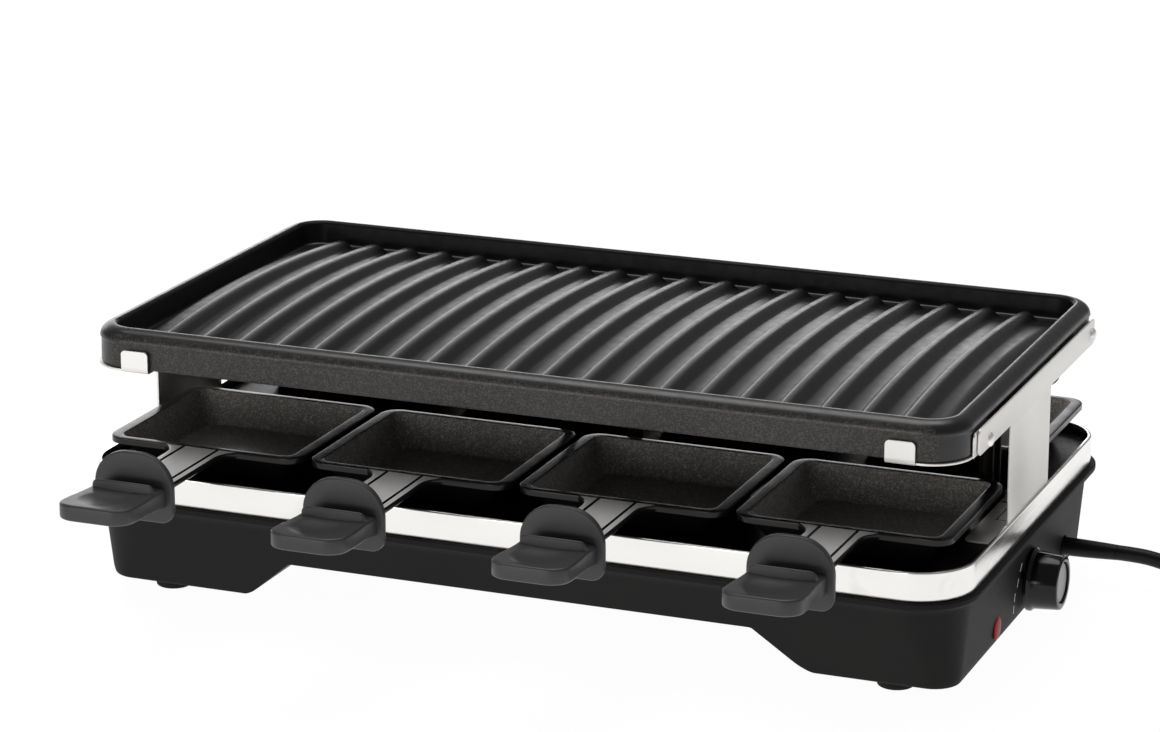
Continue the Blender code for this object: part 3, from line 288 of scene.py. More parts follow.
# A Principled surface; what is the same all over is set on its own sockets
def newFinish(name, colour, roughness, metallic=0.0, **sockets):
    finish = bpy.data.materials.new(name)
    finish.use_nodes = True
    tree = finish.node_tree
    shader = tree.nodes["Principled BSDF"]
    shader.inputs["Base Color"].default_value = linear(colour)
    shader.inputs["Roughness"].default_value = roughness
    shader.inputs["Metallic"].default_value = metallic
    for key, value in sockets.items():
        shader.inputs[key.replace("_", " ")].default_value = value
    return finish, tree, shader, addNode(tree, "TexCoord").outputs["Object"]


# Noise scale for features of a real size in millimetres
def perMetre(millimetres):
    return 1000 / millimetres


# A pattern between two of its levels blends two colours, the second up to a share
def blendColours(tree, shader, pattern, low, high, colours, most=1.0):
    share = addNode(tree, "MapRange", {"From Min": low, "From Max": high, "To Max": most}, {"Value": pattern})
    settings = {"data_type": "RGBA", 6: linear(colours[0]), 7: linear(colours[1])}
    blend = addNode(tree, "Mix", settings, {0: share.outputs[0]})
    tree.links.new(blend.outputs[2], shader.inputs["Base Color"])


# A pattern's height, in millimetres, makes the surface uneven, and the pattern varies the roughness
def addGrain(tree, shader, pattern, low, high, smooth, rough, height):
    settings = {"From Min": low, "From Max": high, "To Min": smooth, "To Max": rough}
    varied = addNode(tree, "MapRange", settings, {"Value": pattern})
    tree.links.new(varied.outputs[0], shader.inputs["Roughness"])
    uneven = addNode(tree, "Bump", {"Distance": height / 1000}, {"Height": pattern})
    tree.links.new(uneven.outputs[0], shader.inputs["Normal"])


# Injection-moulded ABS or nylon: spark-eroded grain gives a soft, even sheen
def mouldedPlastic(name, colour, lighter, roughness, grain, depth, shine=0.2):
    finish, tree, shader, place = newFinish(name, colour, roughness, Specular_IOR_Level=shine)
    fine = addNode(tree, "TexNoise", {"Scale": perMetre(grain), "Detail": 3.0}, {"Vector": place})
    broad = addNode(tree, "TexNoise", {"Scale": perMetre(60), "Detail": 2.0}, {"Vector": place})
    blendColours(tree, shader, broad.outputs["Fac"], 0.3, 0.7, (colour, lighter))
    addGrain(tree, shader, fine.outputs["Fac"], 0.3, 0.7, roughness - 0.04, roughness + 0.05, depth)
    return finish


# Sprayed PTFE on metal: satin with pale mineral flecks and a slight orange peel
def nonStick(name, colour, fleck, roughness, fleckShare, grain):
    finish, tree, shader, place = newFinish(name, colour, roughness, Specular_IOR_Level=0.35)
    # Real flecks are about 0.15 mm; drawn at three times that and paler, they average to the same grey
    flecks = addNode(tree, "TexVoronoi", {"Scale": perMetre(0.48), "Randomness": 1.0}, {"Vector": place})
    tone = addNode(tree, "SeparateColor", None, {"Color": flecks.outputs["Color"]})
    chosen = addNode(tree, "MapRange", {"From Min": 1 - fleckShare}, {"Value": tone.outputs[0]})
    cloud = addNode(tree, "TexNoise", {"Scale": perMetre(3.0), "Detail": 2.0}, {"Vector": place})
    settings = {"From Min": 0.35, "From Max": 0.65, "To Min": 0.55, "To Max": 1.0}
    patchy = addNode(tree, "MapRange", settings, {"Value": cloud.outputs["Fac"]})
    links = {0: chosen.outputs[0], 1: patchy.outputs[0]}
    share = addNode(tree, "Math", {"operation": "MULTIPLY"}, links)
    settings = {"data_type": "RGBA", 6: linear(colour), 7: linear(fleck)}
    blend = addNode(tree, "Mix", settings, {0: share.outputs[0]})
    tree.links.new(blend.outputs[2], shader.inputs["Base Color"])
    peel = addNode(tree, "TexNoise", {"Scale": perMetre(grain), "Detail": 4.0}, {"Vector": place})
    addGrain(tree, shader, peel.outputs["Fac"], 0.3, 0.7, roughness - 0.05, roughness + 0.06, 0.012)
    return finish


# Rolled steel: fine lines along the sheet blur its reflections; broad smudges dull it here and there
def rolledSteel(name, colour, roughness, depth=0.0, stretch=(1.0, 1.0, 1.0), smudge=0.0):
    finish, tree, shader, place = newFinish(name, colour, roughness, 1.0)
    if depth:
        laid = addNode(tree, "Mapping", {"Scale": stretch}, {"Vector": place}).outputs[0]
        lines = addNode(tree, "TexNoise", {"Scale": perMetre(0.5), "Detail": 3.0}, {"Vector": laid})
        addGrain(tree, shader, lines.outputs["Fac"], 0.25, 0.75, roughness - 0.05, roughness + 0.06, depth)
    if smudge:
        settings = {"Scale": perMetre(34), "Detail": 3.0, "Distortion": 0.6}
        patch = addNode(tree, "TexNoise", settings, {"Vector": place})
        blendColours(tree, shader, patch.outputs["Fac"], 0.60, 0.74, (colour, "#6b6763"), smudge)
    return finish


# Clear red polycarbonate: glossy skin, light soaks in a little and glows back
def clearPlastic(name, colours, glow, roughness):
    skin = {"Specular_IOR_Level": 0.08, "Emission_Color": linear(glow), "Emission_Strength": 0.12}
    finish, tree, shader, place = newFinish(name, colours[1], roughness, **skin)
    cloud = addNode(tree, "TexNoise", {"Scale": perMetre(6), "Detail": 2.0}, {"Vector": place})
    blendColours(tree, shader, cloud.outputs["Fac"], 0.3, 0.7, colours)
    return finish


housingPlastic = mouldedPlastic("mouldedHousingPlastic", "#151515", "#191918", 0.56, 0.7, 0.008, 0.12)
gripPlastic = mouldedPlastic("mattThermosetGrip", "#343436", "#3a3a3c", 0.38, 0.5, 0.006, 0.4)
cordSheath = mouldedPlastic("extrudedPvcSheath", "#0b0b0b", "#0e0e0e", 0.42, 1.5, 0.004)
knobPlastic = mouldedPlastic("glossAbsKnob", "#050505", "#080808", 0.14, 4.0, 0.001, 0.3)
knobGrey = mouldedPlastic("satinGreyAbsInsert", "#9d9d9d", "#a6a6a6", 0.35, 0.6, 0.003)
footRubber = mouldedPlastic("mouldedRubberFoot", "#101010", "#141414", 0.75, 0.8, 0.02)
brownPhenolic = mouldedPlastic("pressedPhenolic", "#2a211b", "#33281f", 0.5, 0.8, 0.01)
plateCoating = nonStick("sprayedPtfeOnCastPlate", "#262423", "#55514e", 0.34, 0.55, 0.9)
# Smooth dark coat of the ribs; on the plate's ends and the band under its rim it is painted shade
ribCoatingAndPaintedShade = mouldedPlastic("smoothPtfeOnRibsAndPaintedShade", "#100f0f", "#141313", 0.33, 5.0, 0.0003, 0.55)
panSmooth = mouldedPlastic("smoothPtfeOnPanRim", "#131212", "#161515", 0.22, 9.0, 0.0, 0.3)
# The flat of the stems is painted pale grey as sheen from the open sky; its grooves stay dark
stemPaintedSheen = mouldedPlastic("ptfeOnStemsPaintedSheen", "#c8c6c4", "#cecccb", 0.34, 5.0, 0.0, 0.8)
# The rim's inner walls face away from all lights and are painted near black as shade
rimPaintedShade = mouldedPlastic("ptfeInRimPaintedShade", "#0a0a0a", "#0d0d0d", 0.42, 5.0, 0.0, 0.15)
# The bracket feet are duller than the legs and show an even light grey
footSteel = rolledSteel("dullRolledStainless", "#e2e0dd", 0.6)
# The pan's coating is black with light flecks; its ground here is painted lighter, as painted light on the
# bowl's inner walls
panPaintedLightCoating = nonStick("sprayedPtfePaintedLighterOnPan", "#726e6a", "#bab5af", 0.36, 0.5, 0.8)
ringSteel = rolledSteel("rolledStainlessRing", "#f1efec", 0.20, 0.0003, (0.02, 0.02, 1.0), 0.15)
bracketSteel = rolledSteel("brushedStainlessBracket", "#e8e6e3", 0.46, 0.0004, (1.0, 1.0, 0.03))
rivetSteel = rolledSteel("headedSteelRivet", "#fdfcfa", 0.5)
heaterSheath = rolledSteel("heatTintedHeaterTube", "#24211f", 0.55, 0.006)
blackEnamel = mouldedPlastic("firedBlackEnamel", "#070707", "#0a0a0a", 0.34, 2.0, 0.004, 0.12)
blackPaint = mouldedPlastic("bakedBlackPaint", "#141414", "#181818", 0.45, 1.0, 0.01)
nickelPlate = rolledSteel("nickelPlatedBrass", "#cfc8b8", 0.2, 0.001)
printInk = mouldedPlastic("padPrintedInk", "#e4e4e2", "#ebebe9", 0.6, 0.5, 0.002)
lensRed = clearPlastic("clearRedPolycarbonate", ("#7d0c0a", "#7c0606"), "#a51008", 0.35)
print("finishes made")

# Camera, lights and floor

camera = {"place": (644.1, -1640.2, 613.1), "yaw": 21.744, "pitch": 16.232, "roll": 0.09, "lens": 121.62}


def makeCamera():
    data = bpy.data.cameras.new("camera")
    data.lens = camera["lens"]
    data.sensor_width = 36.0
    data.clip_end = 20.0
    made = addObject("camera", data)
    yaw = Matrix.Rotation(math.radians(camera["yaw"]), 4, "Z")
    pitch = Matrix.Rotation(math.radians(90 - camera["pitch"]), 4, "X")
    roll = Matrix.Rotation(math.radians(camera["roll"]), 4, "Z")
    made.matrix_world = Matrix.Translation(toFrame(camera["place"])) @ yaw @ pitch @ roll
    bpy.context.scene.camera = made


# Metres and watts
studio = {
    "sky": "#ffffff",
    "skyStrength": 0.22,
    "backdrop": {"at": (-1.72, 2.46, 0.62), "aim": (0.0, 0.0, 0.12), "size": (2.9, 1.2), "watts": 24},
    "overhead": {"at": (-0.2, 0.3, 1.6), "aim": (0.0, 0.0, 0.1), "size": (1.4, 0.9), "watts": 14},
    "front": {"at": (-0.6, -2.2, 0.27), "aim": (0.0, 0.0, 0.06), "size": (1.6, 0.36), "watts": 11},
    "floor": "#404040",
    "floorGlow": 0.97,
    "floorHalf": 8.0,
}


# A rectangle of light that faces its aim
def makeLight(name, at, aim, size, watts):
    data = bpy.data.lights.new(name, "AREA")
    data.shape = "RECTANGLE"
    data.size, data.size_y = size
    data.energy = watts
    made = addObject(name, data)
    made.location = at
    made.rotation_euler = (Vector(at) - Vector(aim)).to_track_quat("Z", "Y").to_euler()


def makeStudio():
    world = bpy.data.worlds.new("studio")
    world.use_nodes = True
    sky = world.node_tree.nodes["Background"]
    sky.inputs["Color"].default_value = linear(studio["sky"])
    sky.inputs["Strength"].default_value = studio["skyStrength"]
    bpy.context.scene.world = world
    bpy.context.scene.view_settings.view_transform = "Standard"
    for name in ("backdrop", "overhead", "front"):
        makeLight(name, **studio[name])
    # Lit acrylic table: it glows near white by itself, so that only a breath of shadow is left
    glow = {"Emission_Color": linear("#ffffff"), "Emission_Strength": studio["floorGlow"]}
    acrylic = newFinish("litAcrylicTable", studio["floor"], 0.8, Specular_IOR_Level=0.1, **glow)[0]
    mesh = bpy.data.meshes.new("floor")
    half = studio["floorHalf"]
    corners = [(-half, -half, 0), (half, -half, 0), (half, half, 0), (-half, half, 0)]
    mesh.from_pydata(corners, [], [(0, 1, 2, 3)])
    mesh.materials.append(acrylic)
    addObject("floor", mesh)


makeCamera()
makeStudio()
print("camera, lights and floor made")

# Base housing: lofted tub, hollowed and arched through, with holes for the shaft, lamp and cord

base = {
    "bottom": 4.5,
    "top": 48.3,
    "bottomHalf": (207.0, 108.4, 13.4),
    "topHalf": (210.0, 121.0, 27.0),
    "lipHalf": (214.5, 124.1, 29.5),
    "lipInner": (206.8, 117.7, 23.4),
    "lipHeight": 3.0,
    "lipRun": 1.4,
    "lipEdge": 1.6,
    "bottomRound": 3.0,
    "wall": 2.4,
    "archHalf": 112.0,
    "archHeight": 20.0,
    "archAngle": 40.0,
    "archShift": 4.0,
    "archEnd": ((42.0, -15.0), (30.0, -3.0)),  # past its foot the arch runs out of the base
    "archRound": (26, 3, 3, 18),  # right foot, two top corners, left foot
    "overrun": 12.0,
    "edge": 0.9,
}
# Radius, y and z of the holes in the right end wall
holes = {"shaft": (3.3, 4.0, 21.0), "lamp": (4.5, -44.0, 13.1), "cord": (5.3, 69.0, 16.0)}


# The end wall leans out evenly from its foot to the lip
def wallX(z):
    foot, head = base["bottom"] + base["bottomRound"], base["top"] - base["lipHeight"] - base["lipRun"]
    share = (z - foot) / (head - foot)
    return base["bottomHalf"][0] + (base["topHalf"][0] - base["bottomHalf"][0]) * share


# Flat top, two slopes and two swept feet, mirrored; grown all round for the inner face
def archOutline(grow):
    slope = math.radians(base["archAngle"])
    topX, low = base["archHalf"] + grow * math.tan(slope / 2), base["bottom"] + grow
    footX = topX + base["archHeight"] / math.tan(slope)
    right = [(footX + x, low + z) for x, z in base["archEnd"]]
    right += [(footX, low), (topX, low + base["archHeight"])]
    corners = right + [(-x, z) for x, z in right[::-1]]
    return softOutline(corners, [0, 0, *base["archRound"], 0, 0], 8) + (base["archShift"], 0)


# One exact Boolean, applied at once, so that neither modifier nor tool stays behind
def subtract(piece, tool):
    step = piece.modifiers.new("subtract", "BOOLEAN")
    step.object = tool
    step.solver = "EXACT"
    graph = bpy.context.evaluated_depsgraph_get()
    done = bpy.data.meshes.new_from_object(piece.evaluated_get(graph))
    piece.modifiers.clear()
    piece.data = done
    bpy.data.objects.remove(tool)


# The outer skin less the arch, less an inner skin that leaves the wall, less the holes
def makeBase():
    low, top, r, w = base["bottom"], base["top"], base["bottomRound"], base["wall"]
    bottomHalf, topHalf, lipHalf = base["bottomHalf"], base["topHalf"], base["lipHalf"]
    lipLow = top - base["lipHeight"]
    reach = lipHalf[1] + base["overrun"]
    rows = [
        drawnIn(bottomHalf, r, low),
        drawnIn(bottomHalf, r * 0.3, low),
        drawnIn(bottomHalf, 0, low + r),
        drawnIn(topHalf, 0, lipLow - base["lipRun"]),
        drawnIn(lipHalf, 0, lipLow),
        drawnIn(lipHalf, 0, top),
        drawnIn(lipHalf, base["lipEdge"], top),
    ]
    outer = loft(softRows(rows, [0, 1.5, 2.0, 3.0, 1.0, 0.9, 0], 5), 14)
    rows = [
        drawnIn(bottomHalf, w, low + w),
        drawnIn(topHalf, w, lipLow - base["lipRun"]),
        (*base["lipInner"], lipLow),
        (*base["lipInner"], top + base["overrun"]),
    ]
    piece, cavity = rawObject("baseHousing", [outer]), rawObject("cavity", [loft(rows, 10)])
    subtract(piece, rawObject("arch", [slab(archOutline(0), -reach, reach, "y")]))
    subtract(cavity, rawObject("arch", [slab(archOutline(w), -reach, reach, "y")]))
    subtract(piece, cavity)
    for radius, y, z in holes.values():
        ends = [(radius, bottomHalf[0] - base["overrun"]), (radius, topHalf[0] + base["overrun"])]
        subtract(piece, rawObject("drill", [turned(ends, "x", (y, z), 32)]))
    dress(piece, housingPlastic, "moulded_plastic", ["base_housing"], crease=30)
    bevel = piece.modifiers.new("edges", "BEVEL")
    bevel.width = base["edge"] / 1000
    bevel.segments = 3
    bevel.limit_method = "ANGLE"
    bevel.angle_limit = math.radians(32)


# Mains cord: the same route and coil as the solids, with its plug and strain relief

cord = {
    "radius": 3.6,
    "route": (
        (240.0, 69.0, 15.9),
        (248.0, 69.0, 15.4),
        (256.0, 68.8, 14.0),
        (264.0, 68.5, 11.7),
        (272.0, 68.3, 9.0),
        (280.0, 68.1, 6.5),
        (288.0, 68.0, 4.6),
    ),
    "gap": 0.1,  # between the strain relief and the free cord
    "spacing": 3.0,
    "coilX": 306.0,
    "coilStartY": 68.0,
    "coilRadius": 48.0,
    "pitch": 8.0,
    "layer": 8.0,
    "layerTurns": 2.375,
    "pointsPerTurn": 48,
    "leadOut": 12.0,
    "lift": 0.1,
}
cordLow = cord["radius"] + cord["lift"]  # height of its middle where it lies on the table


# A spiral that draws in by the pitch each turn, climbs a layer in half a turn, and widens again
def coilPoints():
    drift = cord["pitch"] / (2 * math.pi)
    lay = 2 * math.pi * cord["layerTurns"]
    total = 2 * lay + math.pi
    turn = np.linspace(0, total, round(total / (2 * math.pi) * cord["pointsPerTurn"]) + 1)
    past = np.clip(turn - lay, 0, math.pi)
    inner = cord["coilRadius"] - drift * lay
    turnedBack = inner - drift * past + drift * past**2 / math.pi
    radius = np.where(turn < lay, cord["coilRadius"] - drift * turn, turnedBack)
    radius = np.where(turn > lay + math.pi, inner + drift * (turn - lay - math.pi), radius)
    climb = past / math.pi
    height = cordLow + cord["layer"] * climb**2 * (3 - 2 * climb)
    x = cord["coilX"] + radius * np.sin(turn)
    y = cord["coilStartY"] + cord["coilRadius"] - radius * np.cos(turn)
    return np.column_stack([x, y, height])


# Catmull-Rom curve through given points, read at an even spacing
def smoothPath(points, spacing):
    route = np.array(points, float)
    padded = np.vstack([2 * route[0] - route[1], route, 2 * route[-1] - route[-2]])
    t = np.linspace(0, 1, 24, endpoint=False)[:, None]
    fine = []
    for a, b, c, d in zip(padded, padded[1:], padded[2:], padded[3:]):
        bend = (2 * a - 5 * b + 4 * c - d) * t**2 + (3 * b - a - 3 * c + d) * t**3
        fine.append((2 * b + (c - a) * t + bend) / 2)
    fine = np.vstack(fine + [route[-1:]])
    run = np.concatenate([[0], np.cumsum(np.linalg.norm(np.diff(fine, axis=0), axis=1))])
    even = np.linspace(0, run[-1], round(run[-1] / spacing) + 1)
    return np.column_stack([np.interp(even, run, fine[:, k]) for k in range(3)])


relief = {"flange": 1.6, "root": 4.35, "tip": 3.62, "taperFrom": 2.0}


# Short smooth sleeve: behind its flange the radius falls to the cord's as a cosine
def makeRelief():
    low, high = boxOf("cord_strain_relief")
    y, z = holes["cord"][1:]
    body, flange = (high[2] - low[2]) / 2, low[0] + relief["flange"]
    taper = relief["tip"] + (relief["root"] - relief["tip"]) * np.cos(quarterTurn(8))
    along = np.linspace(wallX(z) + relief["taperFrom"], high[0], len(taper))
    profile = [(body, low[0]), (body, flange), (relief["root"], flange + 0.1), *zip(taper, along)]
    shell = turned(profile, "x", (y, z), 40)
    return makePiece("strainRelief", [shell], cordSheath, "cord_sheath", ["cord_strain_relief"])


plug = {
    "edge": 2.5,
    "recess": (4.0, 4.4, 1.0),  # inset of its rim and of its floor, and its depth
    "neck": (4.6, 7.0),
    "ribHeight": 0.25,
    "ribPitch": 3.4,
    "pinTip": ((1.0, 1.2), (0.92, 0.6), (0.7, 0.1), (0.4, 0.0)),  # share of the radius, distance from the tip
    "pinSink": 1.0,
}


# Round plug on its back with a recessed face, a neck whose radius ripples as a cosine, and two nickel pins
def makePlug():
    low, high = boxOf("plug_body")
    radius, height = (high[0] - low[0]) / 2, high[2]
    x, y = (low[0] + high[0]) / 2, high[1] - radius
    rim, floor, depth = plug["recess"]
    insets, levels = edgeRows(plug["edge"], 0, height, 5)
    profile = [*zip(radius - insets, levels), (radius - rim, height), (radius - floor, height - depth)]
    disc = turned(profile, "z", (x, y), 72)
    neckY = np.linspace(low[1], y - radius / 2, 40)
    ripple = plug["ribHeight"] * np.cos((neckY - low[1]) * 2 * math.pi / plug["ribPitch"])
    neckR = np.interp(neckY, [low[1], y - radius], plug["neck"]) + ripple
    neck = turned(np.column_stack([neckR, neckY]), "y", (x, cordLow + cord["layer"]), 32)
    pieces = [makePiece("mainsPlug", [disc, neck], cordSheath, "cord_sheath", ["plug_body"])]
    for number in (1, 2):
        node = f"plug_pin_{number}"
        low, high = boxOf(node)
        radius, middle = (high[0] - low[0]) / 2, (low + high) / 2
        profile = [(radius, low[2] - plug["pinSink"])]
        profile += [(radius * share, high[2] - drop) for share, drop in plug["pinTip"]]
        pin = turned(profile, "z", middle[:2], 32)
        pieces.append(makePiece(f"plugPin{number}", [pin], nickelPlate, "nickel", [node]))
    return pieces


# The free stretch, one straight run of two radii into the coil, the coil, and its lead to the plug
def makeCord():
    tip = boxOf("cord_strain_relief")[1][0] + cord["gap"]
    start = (tip, *holes["cord"][1:])
    joint = (cord["coilX"] - 2 * cord["radius"], cord["coilStartY"], cordLow)
    free = smoothPath([start, *cord["route"], joint], cord["spacing"])
    turns = coilPoints()
    lead = turns[-1] + np.outer(np.linspace(0, 1, 5)[1:], (0, cord["leadOut"], 0))
    path = np.vstack([free, turns, lead])
    shell = carried(path, cord["radius"], 14)
    piece = makePiece("mainsCord", [shell], cordSheath, "cord_sheath", ["power_cord", "cord_coil"])
    tuple(toFrame(start))
    toFrame(path).tolist()
    makeRelief()
    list(makePlug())


# The table of pieces lists the cord before the base
makeCord()
print("cord made")
makeBase()
print("base made")

# Stainless ring round the deck: one sheet with a turned-in top

ring = {"half": (212.0, 121.6, 27.0), "low": 48.6, "top": 61.8, "sheet": 0.6, "hem": 1.8}


# Its section, as inset and height, carried round a rounded rectangle
def makeRing():
    low, top, t, h = ring["low"], ring["top"], ring["sheet"], ring["hem"]
    section = ((0, low), (0, top), (h, top), (h, top - 2 * t), (t, top - 2 * t), (t, low))
    rows = [drawnIn(ring["half"], inset, z) for inset, z in section]
    rows = softRows(rows, [0.1, 1.1, 0.25, 0.25, 0.1, 0.1], 5, closed=True)
    makePiece("trimRing", [loft(rows, 16, ring=True)], ringSteel, "stainless", ["trim_ring"])


makeRing()
print("ring made")

# Grill plate: rimmed tray, and a crowned field of ribs on it

plate = {
    "half": (209.2, 115.0, 19.5),
    "wallHalf": (208.6, 115.4, 19.5),
    "low": 109.5,
    "top": 127.0,
    "relief": 11.0,
    "wall": 4.0,
    "thick": 3.3,
    "rimDrop": 5.8,
    "rimWidth": 7.0,
    "innerRound": 1.2,
    "draft": 2.0,
    "gutter": 115.8,
    "gutterWidth": 6.0,
    "gutterCorner": 3.0,
    "ribCount": 20,
    "pitch": 18.76,
    "ribBase": 12.4,
    "ribHeight": 4.1,
    "ribEnd": 4.6,
    "fieldHalf": (198.6, 100.0),
    "fieldLift": 0.1,
    "fieldSink": 1.0,
    "sideRun": 9.0,
    "valleyStop": 4.5,
    "valleyRun": 2.5,
    "valley": 0.2,
    "crown": 5.7,
    # The ends and the band under the top get the darker smooth coat in place of the flecks: painted shade
    "flecked": (8.0, 2.0, 2.2),  # how far the flecks keep off the ends, reach in, and stay under the top
}


# One rib across: squared cosine of a bent share of its half width, flat on top and zero at its edge
def ribProfile(u):
    return np.cos(np.pi / 2 * np.clip(np.abs(u), 0, 1) ** 1.5) ** 2


# Valleys crowned as a parabola over the depth, plus ribs with quarter-round ends, closed below
def ribField():
    (halfX, halfY), count, ribHalf = plate["fieldHalf"], plate["ribCount"], plate["ribBase"] / 2
    centres = (np.arange(count) - (count - 1) / 2) * plate["pitch"]
    across = (centres[:, None] + ribHalf * np.linspace(-1, 1, 21)).ravel()
    side = halfX - plate["sideRun"] * (1 - np.linspace(0, 1, 9))
    side = side[side > across[-1] + 0.2]  # only columns clear of the last rib
    across = np.concatenate([-side[::-1], across, side])
    ends = halfY - plate["sideRun"] * (1 - np.sin(quarterTurn(21)))
    along = np.concatenate([-ends[::-1], np.linspace(-ends[0], ends[0], 50)[1:-1], ends])
    x, y = np.meshgrid(across, along)
    nearest = centres[np.abs(across[:, None] - centres).argmin(1)]
    profile = ribProfile((across - nearest) / ribHalf)[None, :]
    left = np.clip((halfY - np.abs(along)) / plate["ribEnd"], 0, 1)
    taper = np.sqrt(np.clip(1 - (1 - left) ** 2, 0, 1))[:, None]
    edge = np.clip((halfX - np.abs(x)) / plate["sideRun"], 0, 1)
    stop = np.clip((halfY - plate["valleyStop"] - np.abs(y)) / plate["valleyRun"], 0, 1)
    valley = (plate["valley"] + plate["crown"] * (1 - (y / halfY) ** 2)) * edge * (2 - edge)
    valley = valley * (1 - (1 - profile * taper) * (1 - stop * stop * (3 - 2 * stop)))
    z = plate["gutter"] + plate["fieldLift"] + valley + plate["ribHeight"] * taper * profile
    # A border row and column all round drop below the gutter's floor, where one face closes the field
    grid = np.pad(np.stack([x, y, z], -1), ((1, 1), (1, 1), (0, 0)), mode="edge")
    grid[[0, -1], :, 2] = plate["gutter"] - plate["fieldSink"]
    grid[:, [0, -1], 2] = plate["gutter"] - plate["fieldSink"]
    points, faces = gridShell(grid, wrapColumns=False)
    index = np.arange(len(points)).reshape(grid.shape[:2])
    border = np.concatenate([index[0, :], index[1:, -1], index[-1, -2::-1], index[-2:0:-1, 0]])
    return points, faces + [border.tolist()[::-1]]


# Front and back wall are flecked; rim, ends and ribs are smooth and darker, which on the ends and the band
# under the rim's top is painted shade; the rim's inner walls are painted near black as shade
def finishPlate(piece, trayFaces):
    middles, normals = facesOf(piece)
    halfX, halfY = plate["half"][:2]
    x, y, z = np.abs(middles[:, 0]), np.abs(middles[:, 1]), middles[:, 2]
    off, deep, under = plate["flecked"]
    outer = (x < halfX - off) & (y > halfY - deep) & (z < plate["top"] - under)
    inRim = (x < halfX - plate["rimWidth"]) & (y < halfY - plate["rimWidth"]) & (z > plate["gutter"] + 0.5)
    steep = (np.arange(len(z)) < trayFaces) & (np.abs(normals[:, 2]) < 0.75)  # walls, not the gutter
    finishFaces(piece, [ribCoatingAndPaintedShade, rimPaintedShade], (~outer).astype(int) + (inRim & steep))


# Wall, rim, inner wall and gutter as insets and heights; the rim is a quarter ellipse to its inner edge
def makePlate():
    half, wallHalf, low, top = plate["half"], plate["wallHalf"], plate["low"], plate["top"]
    wallIn = plate["rimWidth"] + plate["innerRound"]
    floorIn = wallIn + plate["draft"]
    swing = quarterTurn(11)
    insets, drops = plate["rimWidth"] * (1 - np.cos(swing)), plate["rimDrop"] * (1 - np.sin(swing))
    rim = [drawnIn(half, inset, top - drop) for inset, drop in zip(insets, drops)]
    gutterEnd = drawnIn(half, floorIn + plate["gutterWidth"], plate["gutter"])
    rows = [
        drawnIn(wallHalf, plate["wall"], plate["gutter"] - plate["thick"]),
        drawnIn(wallHalf, plate["wall"], low),
        drawnIn(wallHalf, 0, low),
        (wallHalf[0], half[1], half[2], low + plate["relief"]),
        *rim,
        drawnIn(half, wallIn, top - plate["innerRound"]),
        drawnIn(half, floorIn, plate["gutter"]),
        (*gutterEnd[:2], plate["gutterCorner"], plate["gutter"]),
    ]
    tray = loft(softRows(rows, [0, 0.6, 1.0, 0.6] + [0] * len(rim) + [0.7, 2.2, 0], 6), 16)
    shells = [tray, ribField()]
    piece = makePiece("grillPlate", shells, plateCoating, "cast_coating", ["grill_plate"], "plate", 50)
    finishPlate(piece, len(tray[1]))


makePlate()
print("plate made")

# Plate carriers and T brackets: pressed stainless sheet

sheet = {
    "thick": 1.0,
    "edge": 0.15,
    "carrierTop": 109.2,
    "carrierWidth": 12.0,
    "carrierOut": (209.4, 116.0),
    "tabX": (176.0, 189.5),
    "tabY": 116.4,
    "tabTop": 118.5,
    "tabRun": (1.2, 0.6),  # its flat start and its bend begin this far inside its root
    "tabBend": 1.1,
    "tabCorner": 2.0,
    "lugX": (209.0, 209.8),
    "lugs": ((-97.6, -71.0), (74.0, 99.0)),
    "lugTop": 119.0,
    "barX": (210.1, 211.1),
    "barZ": (107.9, 119.9),
    "barY": (-93.8, 99.2),
    "legY": (-43.3, 22.6),
    "footZ": 57.8,
    "footX": (196.1, 210.6),
    "footY": (-62.0, 20.6),
    "bracketEdge": 0.2,
    "slots": (
        (196.6, -4.6, 201.2, -3.2),
        (201.6, -30.0, 202.3, -9.0),
        (201.6, -30.0, 207.6, -29.3),
        (201.6, -9.7, 207.6, -9.0),
    ),
    "slotZ": (-0.3, 0.04),
    "rivets": ((-77.6, 111.2), (95.6, 112.6)),
    "rivetSize": (3.2, 1.8),
    "screwAt": (198.2, 8.6),
    "screwHead": ((3.6, -0.3), (3.6, 0.9), (3.2, 1.6), (2.3, 2.0), (1.4, 2.05), (1.2, 1.3)),
}
footTop = sheet["footZ"] + sheet["thick"]


# A strip of even thickness that follows a line in the y-z plane; its free corners are quarter circles
def bentStrip(line, x0, x1, side):
    corner, thick = sheet["tabCorner"], sheet["thick"]
    line = np.asarray(line, float)
    run = np.concatenate([[0], np.cumsum(np.linalg.norm(np.diff(line, axis=0), axis=1))])
    straight = run[-1] - corner
    rounding = straight + corner * np.sin(quarterTurn(6))
    even = np.unique(np.concatenate([np.linspace(0, straight, 12), rounding]))
    centre = np.column_stack([np.interp(even, run, line[:, k]) for k in range(2)])
    tangent = np.gradient(centre, axis=0)
    tangent /= np.linalg.norm(tangent, axis=1)[:, None]
    normal = np.column_stack([tangent[:, 1], -tangent[:, 0]])
    left = run[-1] - even
    rounded = corner - np.sqrt(np.clip(corner**2 - (corner - left) ** 2, 0, None))
    rows = []
    for point, out, trim in zip(centre, normal, np.where(left < corner, rounded, 0)):
        a, b = x0 + trim, x1 - trim
        over, under = point + out * thick / 2, point - out * thick / 2
        rows.append([(a, *over), (b, *over), (b, *under), (a, *under)])
    return gridShell(np.array(rows) * (1, side, 1))


